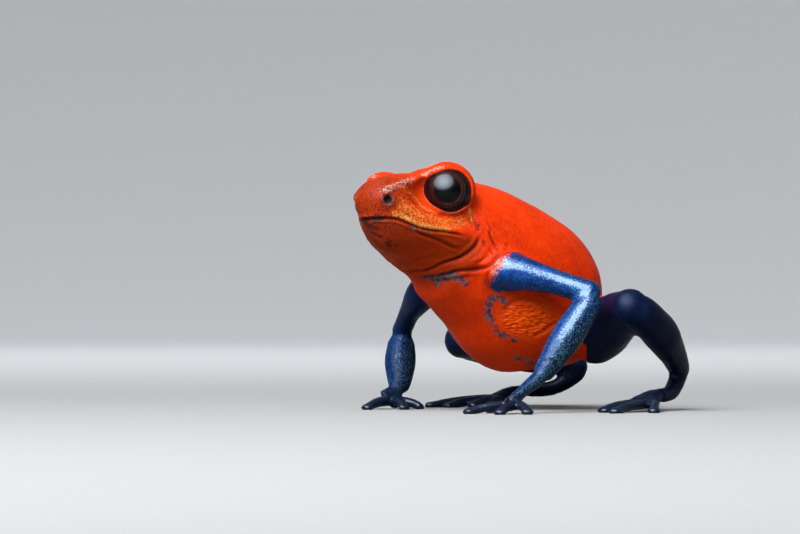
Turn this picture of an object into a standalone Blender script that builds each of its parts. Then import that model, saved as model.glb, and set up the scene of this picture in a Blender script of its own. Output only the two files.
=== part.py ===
"""Strawberry poison dart frog, life size, sitting with its head raised.

Frame: the frog faces -Y, its left side is +X, +Z is up, and the floor is z = 0.
The body is one loft for the trunk and one for the head, joined and then parted at the neck.
Every limb is a chain of tapered lofts between named joints, and each length is trimmed by the
one before it, so neighbours meet with a thin gap.
Sizes below are in millimetres and are turned into metres by MM.
"""

from math import pi, radians

import bmesh
import bpy
import numpy as np
from mathutils import Matrix, Vector

MM = 0.001
GAP = 0.12                      # clearance between two pieces that meet
LOFT_SAMPLES = 200              # points that measure the length of a loft's curve
LOFT_INSET = 0.01               # share of the length left off before the first and last ring
END_CROWDING = 0.5              # 0 spaces a loft's rings evenly, 1 crowds them at the ends
FLOOR_SIZE = 40.0               # side of the block that trims the soles

# ---------------------------------------------------------------- trunk
# Along the spine from neck to vent: y, z, half width, depth above and below the spine line.
TRUNK_STATIONS = (
    (-4.6, 10.3, 2.40, 2.15, 2.80),
    (-3.3, 10.1, 3.10, 3.05, 3.75),
    (-1.6, 9.4, 3.60, 3.66, 4.12),
    (0.2, 8.3, 4.00, 4.12, 4.40),
    (2.0, 7.0, 4.20, 4.50, 4.85),
    (3.7, 5.7, 3.95, 4.20, 4.45),
    (5.1, 4.6, 3.05, 3.15, 2.85),
    (6.1, 4.0, 2.15, 2.20, 1.60),
    (6.7, 3.8, 1.30, 1.20, 0.90),
)
TRUNK_RINGS = 19
TRUNK_CAPS = (1.4, 0.7)                 # depth of the round ends at the neck and at the vent
BODY_SIDES = 24

# ---------------------------------------------------------------- head
SNOUT_TIP = (1.15, -9.49, 10.88)        # at the level of the mouth
HEAD_YAW = 12.0                         # turned towards the left
HEAD_PITCH = 13.0                       # snout raised
HEAD_ROLL = 6.5                         # left side raised
# Backwards from the snout tip: distance, height of the widest level, half width there, top,
# bottom, narrowing towards the top, squareness above and below. Heights from the mouth level.
HEAD_STATIONS = (
    (0.0, 1.30, 0.66, 1.84, 0.80, 0.85, 2.4, 1.50),
    (0.3, 1.28, 1.12, 2.20, 0.36, 0.82, 2.6, 1.40),
    (0.8, 1.22, 1.47, 2.50, -0.52, 0.80, 2.8, 1.45),
    (1.6, 0.90, 1.90, 2.86, -1.27, 0.76, 3.2, 1.55),
    (2.6, 0.38, 2.34, 3.22, -1.44, 0.60, 3.4, 1.70),
    (3.8, 0.05, 2.70, 3.50, -1.53, 0.49, 3.2, 1.85),
    (5.0, 0.00, 3.06, 3.62, -1.95, 0.54, 2.8, 1.85),
    (6.2, 0.25, 3.30, 3.70, -2.28, 0.70, 2.5, 1.90),
    (7.4, 0.50, 3.30, 3.55, -2.40, 0.85, 2.3, 2.00),
    (8.6, 0.50, 2.80, 3.10, -2.00, 0.90, 2.0, 2.00),
)
HEAD_RINGS = 19
HEAD_CAPS = (0.40, 1.7)                 # depth of the round ends at the snout and at the nape
HEAD_OVERRUN = 0.05                     # how far the round ends reach past the outer sections
NECK_POINT = (0.0, 6.1, 0.5)            # in the head's own frame: left, back, up
NECK_NORMAL = (0.0, 0.906, -0.42)       # leans back over the shoulders
NECK_BLOCK = 30.0

# ---------------------------------------------------------------- eyes
EYE_CENTRE = (2.22, 4.38, 2.35)         # left eye, in the head's own frame
RIGHT_EYE_SHIFT = (-0.12, -0.30, -0.10)  # the right eye lies this much off the left one's mirror image
EYE_RADIUS = 1.42
EYE_OPENING = 1.30                      # radius of the ring where the lids meet the ball
EYE_OUTWARD = (0.78, -0.62, -0.06)      # the way the left eye looks
LID_THICKNESS = 0.30
# Swellings in front of the eye and behind it: inwards, back and up from its middle, and the radius.
SWELLINGS = {"brow": ((0.95, -0.95, 0.25), 1.00), "temple": ((0.22, 1.12, -0.75), 1.25)}
SWELLING_SEGMENTS = 9
EYE_SEGMENTS = 14
LID_SEGMENTS = 13

# ---------------------------------------------------------------- joints of the limbs
JOINTS = {
    "left": {
        "shoulder": (2.30, -2.45, 8.22), "elbow": (7.17, 2.12, 6.62), "wrist": (6.80, -1.30, 2.10),
        "knuckles": (6.65, -3.45, 0.48),
        "hip": (1.00, 6.00, 3.60), "knee": (8.30, 3.90, 6.00), "heel": (4.60, 10.15, 2.10),
        "ankle": (6.60, 6.90, 0.95), "ball": (7.55, 5.20, 0.44),
    },
    "right": {
        "shoulder": (-2.13, -2.42, 7.24), "elbow": (-6.85, -1.34, 4.30), "wrist": (-5.55, -2.40, 1.10),
        "knuckles": (-5.30, -3.30, 0.46),
        "hip": (-1.00, 5.50, 3.40), "knee": (-8.35, 3.45, 3.80), "heel": (-4.60, 10.20, 2.20),
        "ankle": (-6.15, 6.60, 1.00), "ball": (-6.55, 5.00, 0.44),
    },
}
# Sideways bend of each length at its middle, added to the straight line between its joints.
BOWS = {
    "upper_arm": (0.0, -0.20, 0.22), "forearm": (0.0, 0.02, 0.05), "hand": (0.0, -0.05, 0.06),
    "thigh": (0.0, 0.25, 0.25), "shank": (0.30, 0.20, 0.15), "tarsus": (0.0, 0.15, -0.50),
    "foot": (0.0, 0.0, 0.05),
}
# Fraction of the length, half thickness in the plane of the bend, half width across it.
PROFILES = {
    "upper_arm": ((0.0, 1.15, 1.15), (0.3, 1.05, 1.08), (0.65, 0.72, 0.74), (1.0, 0.66, 0.68)),
    "forearm": ((0.0, 0.66, 0.68), (0.25, 0.80, 0.82), (0.5, 0.87, 0.89), (0.75, 0.76, 0.78),
                (1.0, 0.50, 0.52)),
    "hand": ((0.0, 0.45, 0.48), (0.4, 0.38, 0.52), (0.8, 0.33, 0.72), (1.0, 0.30, 0.74)),
    "thigh": ((0.0, 1.40, 1.45), (0.3, 1.62, 1.65), (0.6, 1.45, 1.45), (0.85, 1.12, 1.12),
              (1.0, 0.95, 0.95)),
    "shank": ((0.0, 0.90, 0.90), (0.2, 1.02, 1.02), (0.45, 1.06, 1.05), (0.75, 0.78, 0.76),
              (1.0, 0.54, 0.54)),
    "tarsus": ((0.0, 0.50, 0.52), (0.5, 0.42, 0.46), (1.0, 0.38, 0.48)),
    "foot": ((0.0, 0.36, 0.48), (0.5, 0.32, 0.70), (1.0, 0.29, 0.92)),
}
SLIMMER = {("upper_arm", "right"): 0.85}  # share of the profile's sizes, where one side is stretched
END_CAP = 0.9                   # depth of a length's far round end, as a share of its thickness
JOINT_OVERRUN = 0.5             # share of that cap that reaches past the joint
RINGS = {"upper_arm": 9, "forearm": 10, "hand": 7, "thigh": 10, "shank": 11, "tarsus": 7, "foot": 7}
LIMB_SIDES = {"upper_arm": 12, "forearm": 12, "hand": 10, "thigh": 14, "shank": 12, "tarsus": 10,
              "foot": 10}

# ---------------------------------------------------------------- fingers and toes
# Where each tip stands on the floor, from the innermost digit outwards: x, y.
FINGER_TIPS = {
    "left": ((4.75, -3.65), (5.75, -5.95), (8.45, -5.55), (9.20, -4.00)),
    "right": ((-3.85, -1.85), (-3.45, -3.40), (-4.75, -5.40), (-7.70, -3.10)),
}
TOE_TIPS = {
    "left": ((6.20, 3.90), (6.75, 2.75), (8.05, 1.80), (9.75, 1.35), (10.45, 3.75)),
    "right": ((-5.30, 3.85), (-5.50, 2.55), (-6.35, 1.30), (-7.75, 1.00), (-9.15, 2.75)),
}
DIGIT_SPREAD = 0.30             # spacing of the roots across the end of the hand or foot
DIGIT_ROOT_BACK = 0.35          # how far each root reaches back into it
DISC_HEIGHT = 0.09              # of the middle of a tip disc over the floor
# Fraction of the length, lift over the straight line, half width, half thickness.
DIGIT_PROFILE = ((0.0, 0.0, 0.27, 0.27), (0.25, 0.07, 0.27, 0.27), (0.5, 0.10, 0.26, 0.25),
                 (0.72, 0.06, 0.25, 0.24), (0.86, 0.01, 0.35, 0.21), (1.0, 0.0, 0.40, 0.20))
DIGIT_CAPS = (0.2, 0.34)        # depth of the round ends at the root and at the tip
DIGIT_RINGS = 8
DIGIT_SIDES = 8

# ---------------------------------------------------------------- finishes: colour, roughness
RED_SKIN = ((0.62, 0.075, 0.012), 0.45)
BLUE_SKIN = ((0.012, 0.085, 0.33), 0.35)
DARK_SKIN = ((0.02, 0.035, 0.07), 0.35)
EYE_BLACK = ((0.012, 0.009, 0.008), 0.08)


def named_collection(name):
    collection = bpy.data.collections.new(name)
    bpy.context.scene.collection.children.link(collection)
    return collection


def finish(obj, colour, roughness):
    """Give an object a Principled material of its own."""
    material = bpy.data.materials.new(obj.name + "_finish")
    material.use_nodes = True
    shader = material.node_tree.nodes["Principled BSDF"]
    shader.inputs["Base Color"].default_value = (*colour, 1.0)
    shader.inputs["Roughness"].default_value = roughness
    shader.inputs["Metallic"].default_value = 0.0
    obj.data.materials.append(material)


def as_piece(obj, look):
    frog.objects.link(obj)
    finish(obj, *look)
    return obj


def as_cutter(obj):
    cutters.objects.link(obj)
    obj.hide_render = True
    obj.display_type = "WIRE"
    return obj


def boolean(obj, operation, other, overlaps=False):
    """Join or cut; overlaps is for a piece whose own earlier joins may still cross each other."""
    modifier = obj.modifiers.new(operation.lower() + "_" + other.name, "BOOLEAN")
    modifier.operation = operation
    modifier.solver = "EXACT"
    modifier.use_self = overlaps
    modifier.object = other


def along(stations, count):
    """Read a smooth curve through rows of numbers at evenly spaced parameters (Catmull-Rom)."""
    rows = np.array(stations, float)
    last = len(rows) - 1
    at = np.clip(np.linspace(0.0, last, count), 0.0, last - 1e-9)
    index = at.astype(int)
    t = (at - index)[:, None]
    before = rows[np.maximum(index - 1, 0)]
    start, end = rows[index], rows[index + 1]
    after = rows[np.minimum(index + 2, last)]
    leave, arrive = (end - before) / 2, (after - start) / 2
    return (start * (2 * t**3 - 3 * t**2 + 1) + leave * (t**3 - 2 * t**2 + t)
            + end * (3 * t**2 - 2 * t**3) + arrive * (t**3 - t**2))


def unit(vectors):
    return vectors / np.linalg.norm(vectors, axis=-1, keepdims=True)


def section(sides, above=2.0, below=2.0, taper=1.0):
    """One superellipse of unit size: across and up coordinates of its corners."""
    angle = np.linspace(0.0, 2 * pi, sides, endpoint=False)
    across, up = np.cos(angle), np.sin(angle)
    power = np.where(up >= 0, 2 / above, 2 / below)
    across = np.sign(across) * np.abs(across) ** power
    up = np.sign(up) * np.abs(up) ** power
    across = across * np.where(up > 0, 1 + (taper - 1) * up, 1.0)
    return across, up


def rounded(distance, length, start, end):
    """Scale of a section near two round ends whose caps are start and end deep."""
    scale = np.ones_like(distance)
    for depth, from_end in ((start, distance), (end, length - distance)):
        if depth > 0:
            inside = np.clip(1 - from_end / depth, 0.0, 0.999)
            scale = scale * np.sqrt(1 - inside**2)
    return scale


def skin_rings(name, rings):
    """Close a stack of rings of corners with quads and a fan at each end."""
    count, sides = rings.shape[:2]
    mesh_data = bmesh.new()
    corners = [[mesh_data.verts.new(point * MM) for point in ring] for ring in rings]
    for lower, upper in zip(corners, corners[1:]):
        for k in range(sides):
            nxt = (k + 1) % sides
            mesh_data.faces.new((lower[k], lower[nxt], upper[nxt], upper[k]))
    for ring, points in ((corners[0], rings[0]), (corners[-1], rings[-1])):
        middle = mesh_data.verts.new(points.mean(axis=0) * MM)
        for k in range(sides):
            mesh_data.faces.new((ring[k], ring[(k + 1) % sides], middle))
    bmesh.ops.recalc_face_normals(mesh_data, faces=mesh_data.faces)
    mesh = bpy.data.meshes.new(name)
    mesh_data.to_mesh(mesh)
    mesh_data.free()
    mesh.shade_smooth()
    return bpy.data.objects.new(name, mesh)


def tapered_loft(name, rows, side, count, sides, caps, grow=0.0):
    """Loft along rows of x, y, z, half size along the side vector, half size above and below."""
    fine = along(rows, LOFT_SAMPLES)
    travelled = np.append(0.0, np.cumsum(np.linalg.norm(np.diff(fine[:, :3], axis=0), axis=1)))
    length = travelled[-1]
    even = np.linspace(0.0, 1.0, count)
    spread = even + END_CROWDING * ((1 - np.cos(pi * even)) / 2 - even)
    distance = length * (LOFT_INSET + (1 - 2 * LOFT_INSET) * spread)
    rows_at = np.stack([np.interp(distance, travelled, column) for column in fine.T], axis=1)
    centre = rows_at[:, :3]
    ahead = unit(np.gradient(centre, axis=0))
    side = np.array(side, float)
    side = unit(side - (ahead @ side)[:, None] * ahead)
    up = np.cross(side, ahead)
    scale = rounded(distance, length, *caps)
    across, height = section(sides)
    half = (rows_at[:, 3:] + grow) * scale[:, None]
    rise = np.where(height[None, :] >= 0, half[:, 1:2], half[:, -1:]) * height
    rings = (centre[:, None] + across[None, :, None] * half[:, 0, None, None] * side[:, None]
             + rise[:, :, None] * up[:, None])
    return skin_rings(name, rings)


def trunk_loft(name, grow=0.0):
    rows = [(0.0, *row) for row in TRUNK_STATIONS]
    return tapered_loft(name, rows, (1, 0, 0), TRUNK_RINGS, BODY_SIDES, TRUNK_CAPS, grow)


def head_matrix():
    turn = (Matrix.Rotation(radians(HEAD_YAW), 4, "Z") @ Matrix.Rotation(radians(-HEAD_PITCH), 4, "X")
            @ Matrix.Rotation(radians(-HEAD_ROLL), 4, "Y"))
    return Matrix.Translation(Vector(SNOUT_TIP) * MM) @ turn


def head_loft(name):
    """Sections across the head's own length, each with its own level, taper and squareness."""
    back, level, half, top, bottom, taper, above, below = along(HEAD_STATIONS, HEAD_RINGS).T
    scale = rounded(back + HEAD_OVERRUN, back[-1] + 2 * HEAD_OVERRUN, *HEAD_CAPS)
    rings = []
    for k in range(HEAD_RINGS):
        across, up = section(BODY_SIDES, above[k], below[k], taper[k])
        rise = np.where(up >= 0, top[k] - level[k], level[k] - bottom[k])
        ring = np.stack([across * half[k] * scale[k], np.full(BODY_SIDES, back[k]),
                         level[k] + up * rise * scale[k]], axis=1)
        rings.append(ring)
    obj = skin_rings(name, np.array(rings))
    obj.data.transform(head_matrix())
    return obj


def primitive(name, build, **sizes):
    mesh_data = bmesh.new()
    build(mesh_data, **sizes)
    mesh = bpy.data.meshes.new(name)
    mesh_data.to_mesh(mesh)
    mesh_data.free()
    return bpy.data.objects.new(name, mesh)


def ball(name, radius, segments):
    obj = primitive(name, bmesh.ops.create_uvsphere, u_segments=segments,
                    v_segments=segments * 2 // 3, radius=radius * MM)
    obj.data.shade_smooth()
    return obj


def neck_block(name, side):
    """Block behind (1) or in front (-1) of the neck, whose face lies half a gap past the neck plane."""
    obj = primitive(name, bmesh.ops.create_cube, size=NECK_BLOCK * MM)
    normal = Vector(NECK_NORMAL).normalized()
    centre = Vector(NECK_POINT) + normal * side * (NECK_BLOCK - GAP) / 2
    turn = normal.to_track_quat("Z", "Y").to_matrix().to_4x4()
    obj.data.transform(head_matrix() @ Matrix.Translation(centre * MM) @ turn)
    return obj


def make_body():
    trunk = as_piece(trunk_loft("trunk"), RED_SKIN)
    head = as_piece(head_loft("head"), RED_SKIN)
    boolean(trunk, "UNION", as_cutter(head_loft("head_whole")))
    boolean(trunk, "DIFFERENCE", as_cutter(neck_block("front_of_neck", -1)))
    boolean(head, "UNION", as_cutter(trunk_loft("trunk_whole")))
    for side, sign in (("left", 1), ("right", -1)):
        make_eye(side, sign, head)
    boolean(head, "DIFFERENCE", as_cutter(neck_block("back_of_neck", 1)), overlaps=True)


def make_eye(side, sign, head):
    """Ball in a socket: the lid is a larger ball cut off flat at the ring of the opening."""
    centre = Vector((sign * EYE_CENTRE[0], *EYE_CENTRE[1:]))
    if sign < 0:
        centre += Vector(RIGHT_EYE_SHIFT)
    outward = Vector((sign * EYE_OUTWARD[0], *EYE_OUTWARD[1:])).normalized()
    turn = outward.to_track_quat("Z", "Y").to_matrix().to_4x4()
    place = head_matrix() @ Matrix.Translation(centre * MM) @ turn

    eye = as_piece(ball("eye_" + side, EYE_RADIUS, EYE_SEGMENTS), EYE_BLACK)
    eye.data.transform(place)
    for name, ((inwards, back, up), radius) in SWELLINGS.items():
        swelling = as_cutter(ball(f"{name}_{side}", radius, SWELLING_SEGMENTS))
        middle = centre + Vector((-sign * inwards, back, up))
        swelling.data.transform(head_matrix() @ Matrix.Translation(middle * MM))
        boolean(head, "UNION", swelling)
    lid_radius = EYE_RADIUS + LID_THICKNESS
    lid = as_cutter(ball("lid_" + side, lid_radius, LID_SEGMENTS))
    lid.data.transform(place)
    socket = as_cutter(ball("socket_" + side, EYE_RADIUS + GAP, LID_SEGMENTS))
    socket.data.transform(place)
    ring_depth = (EYE_RADIUS**2 - EYE_OPENING**2) ** 0.5
    slice_depth = lid_radius
    slicer = primitive("lid_slicer_" + side, bmesh.ops.create_cone, cap_ends=True, segments=LID_SEGMENTS,
                       radius1=lid_radius * MM, radius2=lid_radius * MM, depth=slice_depth * MM)
    slicer.data.transform(place @ Matrix.Translation((0, 0, (ring_depth + slice_depth / 2) * MM)))
    as_cutter(slicer)
    boolean(head, "UNION", lid, overlaps=True)
    boolean(head, "DIFFERENCE", slicer, overlaps=True)
    boolean(head, "DIFFERENCE", socket, overlaps=True)


def limb_length(name, kind, start, end, side, grow=0.0, mirror=1, slim=1.0):
    """Tapered length between two joints, bowed at its middle; slim scales its thickness."""
    start, end = np.array(start), np.array(end)
    bow = np.array(BOWS[kind]) * (mirror, 1, 1)
    rows = []
    for fraction, thick, wide in PROFILES[kind]:
        centre = start + (end - start) * fraction + bow * 4 * fraction * (1 - fraction)
        rows.append((*centre, thick * slim, wide * slim, wide * slim))
    caps = (PROFILES[kind][0][1] * slim, PROFILES[kind][-1][1] * slim * END_CAP)
    past_joint = (end - start) / np.linalg.norm(end - start) * caps[1] * JOINT_OVERRUN
    rows[-1] = (*(np.array(rows[-1][:3]) + past_joint), *rows[-1][3:])
    return tapered_loft(name, rows, side, RINGS[kind], LIMB_SIDES[kind], caps, grow)


def digit_rows(root, tip):
    root, tip = np.array(root), np.array((*tip, DISC_HEIGHT))
    rows = []
    for fraction, lift, wide, thick in DIGIT_PROFILE:
        centre = root + (tip - root) * fraction + (0, 0, lift)
        rows.append((*centre, wide, thick, thick))
    return rows


def digit_loft(name, root, tip, grow=0.0):
    rows = digit_rows(root, tip)
    heading = np.array(tip) - np.array(root[:2])
    side = (-heading[1], heading[0], 0.0)
    return tapered_loft(name, rows, side, DIGIT_RINGS, DIGIT_SIDES, DIGIT_CAPS, grow)


def make_digits(side, kind, from_joint, to_joint, tips, pad_cutter, floor):
    """Digits fan out of the end of a hand or foot, each trimmed by the pad and its neighbour."""
    base = np.array(JOINTS[side][to_joint])
    ahead = unit((base - np.array(JOINTS[side][from_joint])) * (1, 1, 0))
    outwards = np.array((ahead[1], -ahead[0], 0.0))
    outwards = outwards * np.sign(outwards[0]) * (1 if side == "left" else -1)
    middle = (len(tips) - 1) / 2
    trimmed_by = pad_cutter
    for k, tip in enumerate(tips):
        root = base - ahead * DIGIT_ROOT_BACK + outwards * (k - middle) * DIGIT_SPREAD
        name = f"{kind}_{k + 1}_{side}"
        digit = as_piece(digit_loft(name, root, tip), DARK_SKIN)
        boolean(digit, "DIFFERENCE", pad_cutter)
        if trimmed_by is not pad_cutter:
            boolean(digit, "DIFFERENCE", trimmed_by)
        boolean(digit, "DIFFERENCE", floor)
        trimmed_by = as_cutter(digit_loft(name + "_clearance", root, tip, GAP))


def make_limb(side, chain, trunk_cutter, digit_kind, tips, floor):
    """Build a limb from the body outwards; chain lists (kind, start joint, end joint, side vector)."""
    trimmed_by = trunk_cutter
    mirror = 1 if side == "left" else -1
    joints = JOINTS[side]
    for kind, start, end, across in chain:
        name = f"{kind}_{side}"
        slim = SLIMMER.get((kind, side), 1.0)
        piece = as_piece(limb_length(name, kind, joints[start], joints[end], across, 0.0, mirror, slim),
                         BLUE_SKIN)
        boolean(piece, "DIFFERENCE", trimmed_by)
        trimmed_by = as_cutter(limb_length(name + "_clearance", kind, joints[start], joints[end],
                                           across, GAP, mirror, slim))
    make_digits(side, digit_kind, chain[-1][1], chain[-1][2], tips, trimmed_by, floor)


def stand_on_centre():
    """Move every piece and cutter so that the box of the pieces is centred over the origin."""
    bpy.context.view_layer.update()
    graph = bpy.context.evaluated_depsgraph_get()
    corners = []
    for obj in frog.objects:
        mesh = obj.evaluated_get(graph).data
        places = np.empty(len(mesh.vertices) * 3)
        mesh.vertices.foreach_get("co", places)
        corners.append(places.reshape(-1, 3))
    points = np.concatenate(corners)
    centre = (points.min(axis=0) + points.max(axis=0)) / 2
    shift = Matrix.Translation((-centre[0], -centre[1], 0.0))
    for obj in (*frog.objects, *cutters.objects):
        obj.data.transform(shift)


for old in list(bpy.data.objects):
    bpy.data.objects.remove(old, do_unlink=True)

frog = named_collection("strawberry_poison_dart_frog")
cutters = named_collection("cutters")

make_body()

trunk_clearance = as_cutter(trunk_loft("trunk_clearance", GAP))
floor_block = primitive("below_floor", bmesh.ops.create_cube, size=FLOOR_SIZE * MM)
floor_block.data.transform(Matrix.Translation((0.0, 0.0, -FLOOR_SIZE / 2 * MM)))
as_cutter(floor_block)

ARM = (
    ("upper_arm", "shoulder", "elbow", (0.0, 1.0, 0.3)),
    ("forearm", "elbow", "wrist", (0.0, 1.0, 0.0)),
    ("hand", "wrist", "knuckles", (0.0, 1.0, 1.0)),
)
LEG = (
    ("thigh", "hip", "knee", (0.0, 1.0, 0.0)),
    ("shank", "knee", "heel", (0.0, 0.3, 1.0)),
    ("tarsus", "heel", "ankle", (0.0, 0.3, 1.0)),
    ("foot", "ankle", "ball", (0.0, 0.3, 1.0)),
)
for body_side in ("left", "right"):
    make_limb(body_side, ARM, trunk_clearance, "finger", FINGER_TIPS[body_side], floor_block)
    make_limb(body_side, LEG, trunk_clearance, "toe", TOE_TIPS[body_side], floor_block)

stand_on_centre()
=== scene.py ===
# Strawberry poison dart frog, life size: one skin over the whole body, and two eyes.
# Lengths in this file are millimetres; meshes are turned into metres when they are made.
from math import cos, pi, radians, sin

import bpy
import numpy as np
from mathutils import Matrix, Vector
from mathutils.bvhtree import BVHTree


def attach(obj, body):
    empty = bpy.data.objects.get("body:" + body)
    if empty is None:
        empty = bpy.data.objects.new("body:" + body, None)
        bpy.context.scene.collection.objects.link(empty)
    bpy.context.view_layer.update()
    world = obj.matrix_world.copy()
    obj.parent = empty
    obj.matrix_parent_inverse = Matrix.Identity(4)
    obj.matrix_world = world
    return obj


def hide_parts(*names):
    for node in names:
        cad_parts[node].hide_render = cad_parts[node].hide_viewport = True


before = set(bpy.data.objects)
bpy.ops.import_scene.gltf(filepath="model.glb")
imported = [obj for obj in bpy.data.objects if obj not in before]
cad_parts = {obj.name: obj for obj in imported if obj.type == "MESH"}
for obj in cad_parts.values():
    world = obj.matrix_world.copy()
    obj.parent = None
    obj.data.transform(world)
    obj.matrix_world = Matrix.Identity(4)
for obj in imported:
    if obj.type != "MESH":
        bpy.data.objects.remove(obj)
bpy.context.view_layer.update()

millimetre = 0.001

# The body's forms: the same lofts as the solids, but finer.

trunk = {
    # neck to vent: y, z, half width, depth above and below the spine line
    "stations": ((-4.6, 10.3, 2.40, 2.15, 2.80), (-3.3, 10.1, 3.10, 3.05, 3.75),
                 (-1.6, 9.4, 3.60, 3.66, 4.12), (0.2, 8.3, 4.00, 4.12, 4.40),
                 (2.0, 7.0, 4.20, 4.50, 4.85), (3.7, 5.7, 3.95, 4.20, 4.45),
                 (5.1, 4.6, 3.05, 3.15, 2.85), (6.1, 4.0, 2.15, 2.20, 1.60), (6.7, 3.8, 1.30, 1.20, 0.90)),
    "caps": (1.4, 0.7),
    "rings": 110,
    "sides": 96,
}

head = {
    "tip": (1.15, -9.49, 10.88),
    "yaw": 12.0,
    "pitch": 13.0,
    "roll": 6.5,
    # back from the tip, widest level, half width, top, bottom, taper, squareness above and below
    "stations": (
        (0.0, 1.30, 0.66, 1.84, 0.80, 0.85, 2.4, 1.50), (0.3, 1.28, 1.12, 2.20, 0.36, 0.82, 2.6, 1.40),
        (0.8, 1.22, 1.47, 2.50, -0.52, 0.80, 2.8, 1.45), (1.6, 0.90, 1.90, 2.86, -1.27, 0.76, 3.2, 1.55),
        (2.6, 0.38, 2.34, 3.22, -1.44, 0.60, 3.4, 1.70), (3.8, 0.05, 2.70, 3.50, -1.53, 0.49, 3.2, 1.85),
        (5.0, 0.00, 3.06, 3.62, -1.95, 0.54, 2.8, 1.85), (6.2, 0.25, 3.30, 3.70, -2.28, 0.70, 2.5, 1.90),
        (7.4, 0.50, 3.30, 3.55, -2.40, 0.85, 2.3, 2.00), (8.6, 0.50, 2.80, 3.10, -2.00, 0.90, 2.0, 2.00)),
    "caps": (0.40, 1.7),
    "overrun": 0.05,                     # the first and last ring stop this far within their caps
    "rings": 120,
    "sides": 96,
}

eye = {
    "centre": (2.22, 4.38, 2.35),        # left one, in the head's own frame
    "rightShift": (-0.12, -0.30, -0.10),  # the right one lies a little further forward
    "outward": (0.78, -0.62, -0.06),
    "radius": 1.42,
    "lidBall": 1.66,                     # the mound that the lids make round the ball
    "lidForward": 0.11,                  # its middle lies this far ahead of the ball's
    # swellings in front of the ball and behind it: inwards, back and up from its middle, and the radius
    "swellings": (((0.95, -0.95, 0.25), 1.00), ((0.22, 1.12, -0.75), 1.25)),
    "cornea": (0.03, 0.6),               # how far it stands proud, as a share, and how far round it reaches
    "gaze": (0.627, -0.76, -0.17),
    "nets": {"mound": (50, 64), "swelling": (40, 48), "ball": (90, 96)},  # rings and sides
    "poleGap": 0.02,                     # the first ring's angle from the pole
}

limb = {
    "joints": {
        "left": {"shoulder": (2.30, -2.45, 8.22), "elbow": (7.17, 2.12, 6.62), "wrist": (6.80, -1.30, 2.10),
                 "knuckles": (6.65, -3.45, 0.48), "hip": (1.00, 6.00, 3.60), "knee": (8.30, 3.90, 6.00),
                 "heel": (4.60, 10.15, 2.10), "ankle": (6.60, 6.90, 0.95), "ball": (7.55, 5.20, 0.44)},
        "right": {"shoulder": (-2.13, -2.42, 7.24), "elbow": (-6.85, -1.34, 4.30),
                  "wrist": (-5.55, -2.40, 1.10), "knuckles": (-5.30, -3.30, 0.46), "hip": (-1.00, 5.50, 3.40),
                  "knee": (-8.35, 3.45, 3.80), "heel": (-4.60, 10.20, 2.20), "ankle": (-6.15, 6.60, 1.00),
                  "ball": (-6.55, 5.00, 0.44)},
    },
    # kind: from, to, side vector, bow at the middle, rows of fraction, half thickness, half width
    "lengths": {
        "upper_arm": ("shoulder", "elbow", (0.0, 1.0, 0.3), (0.0, -0.20, 0.22), (
            (0.0, 1.15, 1.15), (0.3, 1.05, 1.08), (0.65, 0.72, 0.74), (1.0, 0.66, 0.68))),
        "forearm": ("elbow", "wrist", (0.0, 1.0, 0.0), (0.0, 0.02, 0.05), (
            (0.0, 0.66, 0.68), (0.25, 0.80, 0.82), (0.5, 0.87, 0.89), (0.75, 0.76, 0.78), (1.0, 0.50, 0.52))),
        "hand": ("wrist", "knuckles", (0.0, 1.0, 1.0), (0.0, -0.05, 0.06), (
            (0.0, 0.45, 0.48), (0.4, 0.38, 0.52), (0.8, 0.33, 0.72), (1.0, 0.30, 0.74))),
        "thigh": ("hip", "knee", (0.0, 1.0, 0.0), (0.0, 0.25, 0.25), (
            (0.0, 1.40, 1.45), (0.3, 1.62, 1.65), (0.6, 1.45, 1.45), (0.85, 1.12, 1.12), (1.0, 0.95, 0.95))),
        "shank": ("knee", "heel", (0.0, 0.3, 1.0), (0.30, 0.20, 0.15), (
            (0.0, 0.90, 0.90), (0.2, 1.02, 1.02), (0.45, 1.06, 1.05), (0.75, 0.78, 0.76), (1.0, 0.54, 0.54))),
        "tarsus": ("heel", "ankle", (0.0, 0.3, 1.0), (0.0, 0.15, -0.50), (
            (0.0, 0.50, 0.52), (0.5, 0.42, 0.46), (1.0, 0.38, 0.48))),
        "foot": ("ankle", "ball", (0.0, 0.3, 1.0), (0.0, 0.0, 0.05), (
            (0.0, 0.36, 0.48), (0.5, 0.32, 0.70), (1.0, 0.29, 0.92))),
    },
    "slimmer": {("upper_arm", "right"): 0.85},
    "endCap": 0.9,                       # depth of the far round end, as a share of the thickness
    "overrun": 0.5,                      # share of that cap past the joint
    "rings": 60,
    "sides": 40,
}

digit = {
    "tips": {
        "finger": {"left": ((4.75, -3.65), (5.75, -5.95), (8.45, -5.55), (9.20, -4.00)),
                   "right": ((-3.85, -1.85), (-3.45, -3.40), (-4.75, -5.40), (-7.70, -3.10))},
        "toe": {"left": ((6.20, 3.90), (6.75, 2.75), (8.05, 1.80), (9.75, 1.35), (10.45, 3.75)),
                "right": ((-5.30, 3.85), (-5.50, 2.55), (-6.35, 1.30), (-7.75, 1.00), (-9.15, 2.75))},
    },
    "grownFrom": {"finger": ("wrist", "knuckles"), "toe": ("ankle", "ball")},
    "spread": 0.30,
    "rootBack": 0.35,
    "discHeight": 0.09,
    # fraction, lift over the straight line, half width, half thickness
    "profile": ((0.0, 0.0, 0.27, 0.27), (0.25, 0.07, 0.27, 0.27), (0.5, 0.10, 0.26, 0.25),
                (0.72, 0.06, 0.25, 0.24), (0.86, 0.01, 0.35, 0.21), (1.0, 0.0, 0.40, 0.20)),
    "caps": (0.2, 0.34),
    "rings": 44,
    "sides": 28,
}

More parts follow.
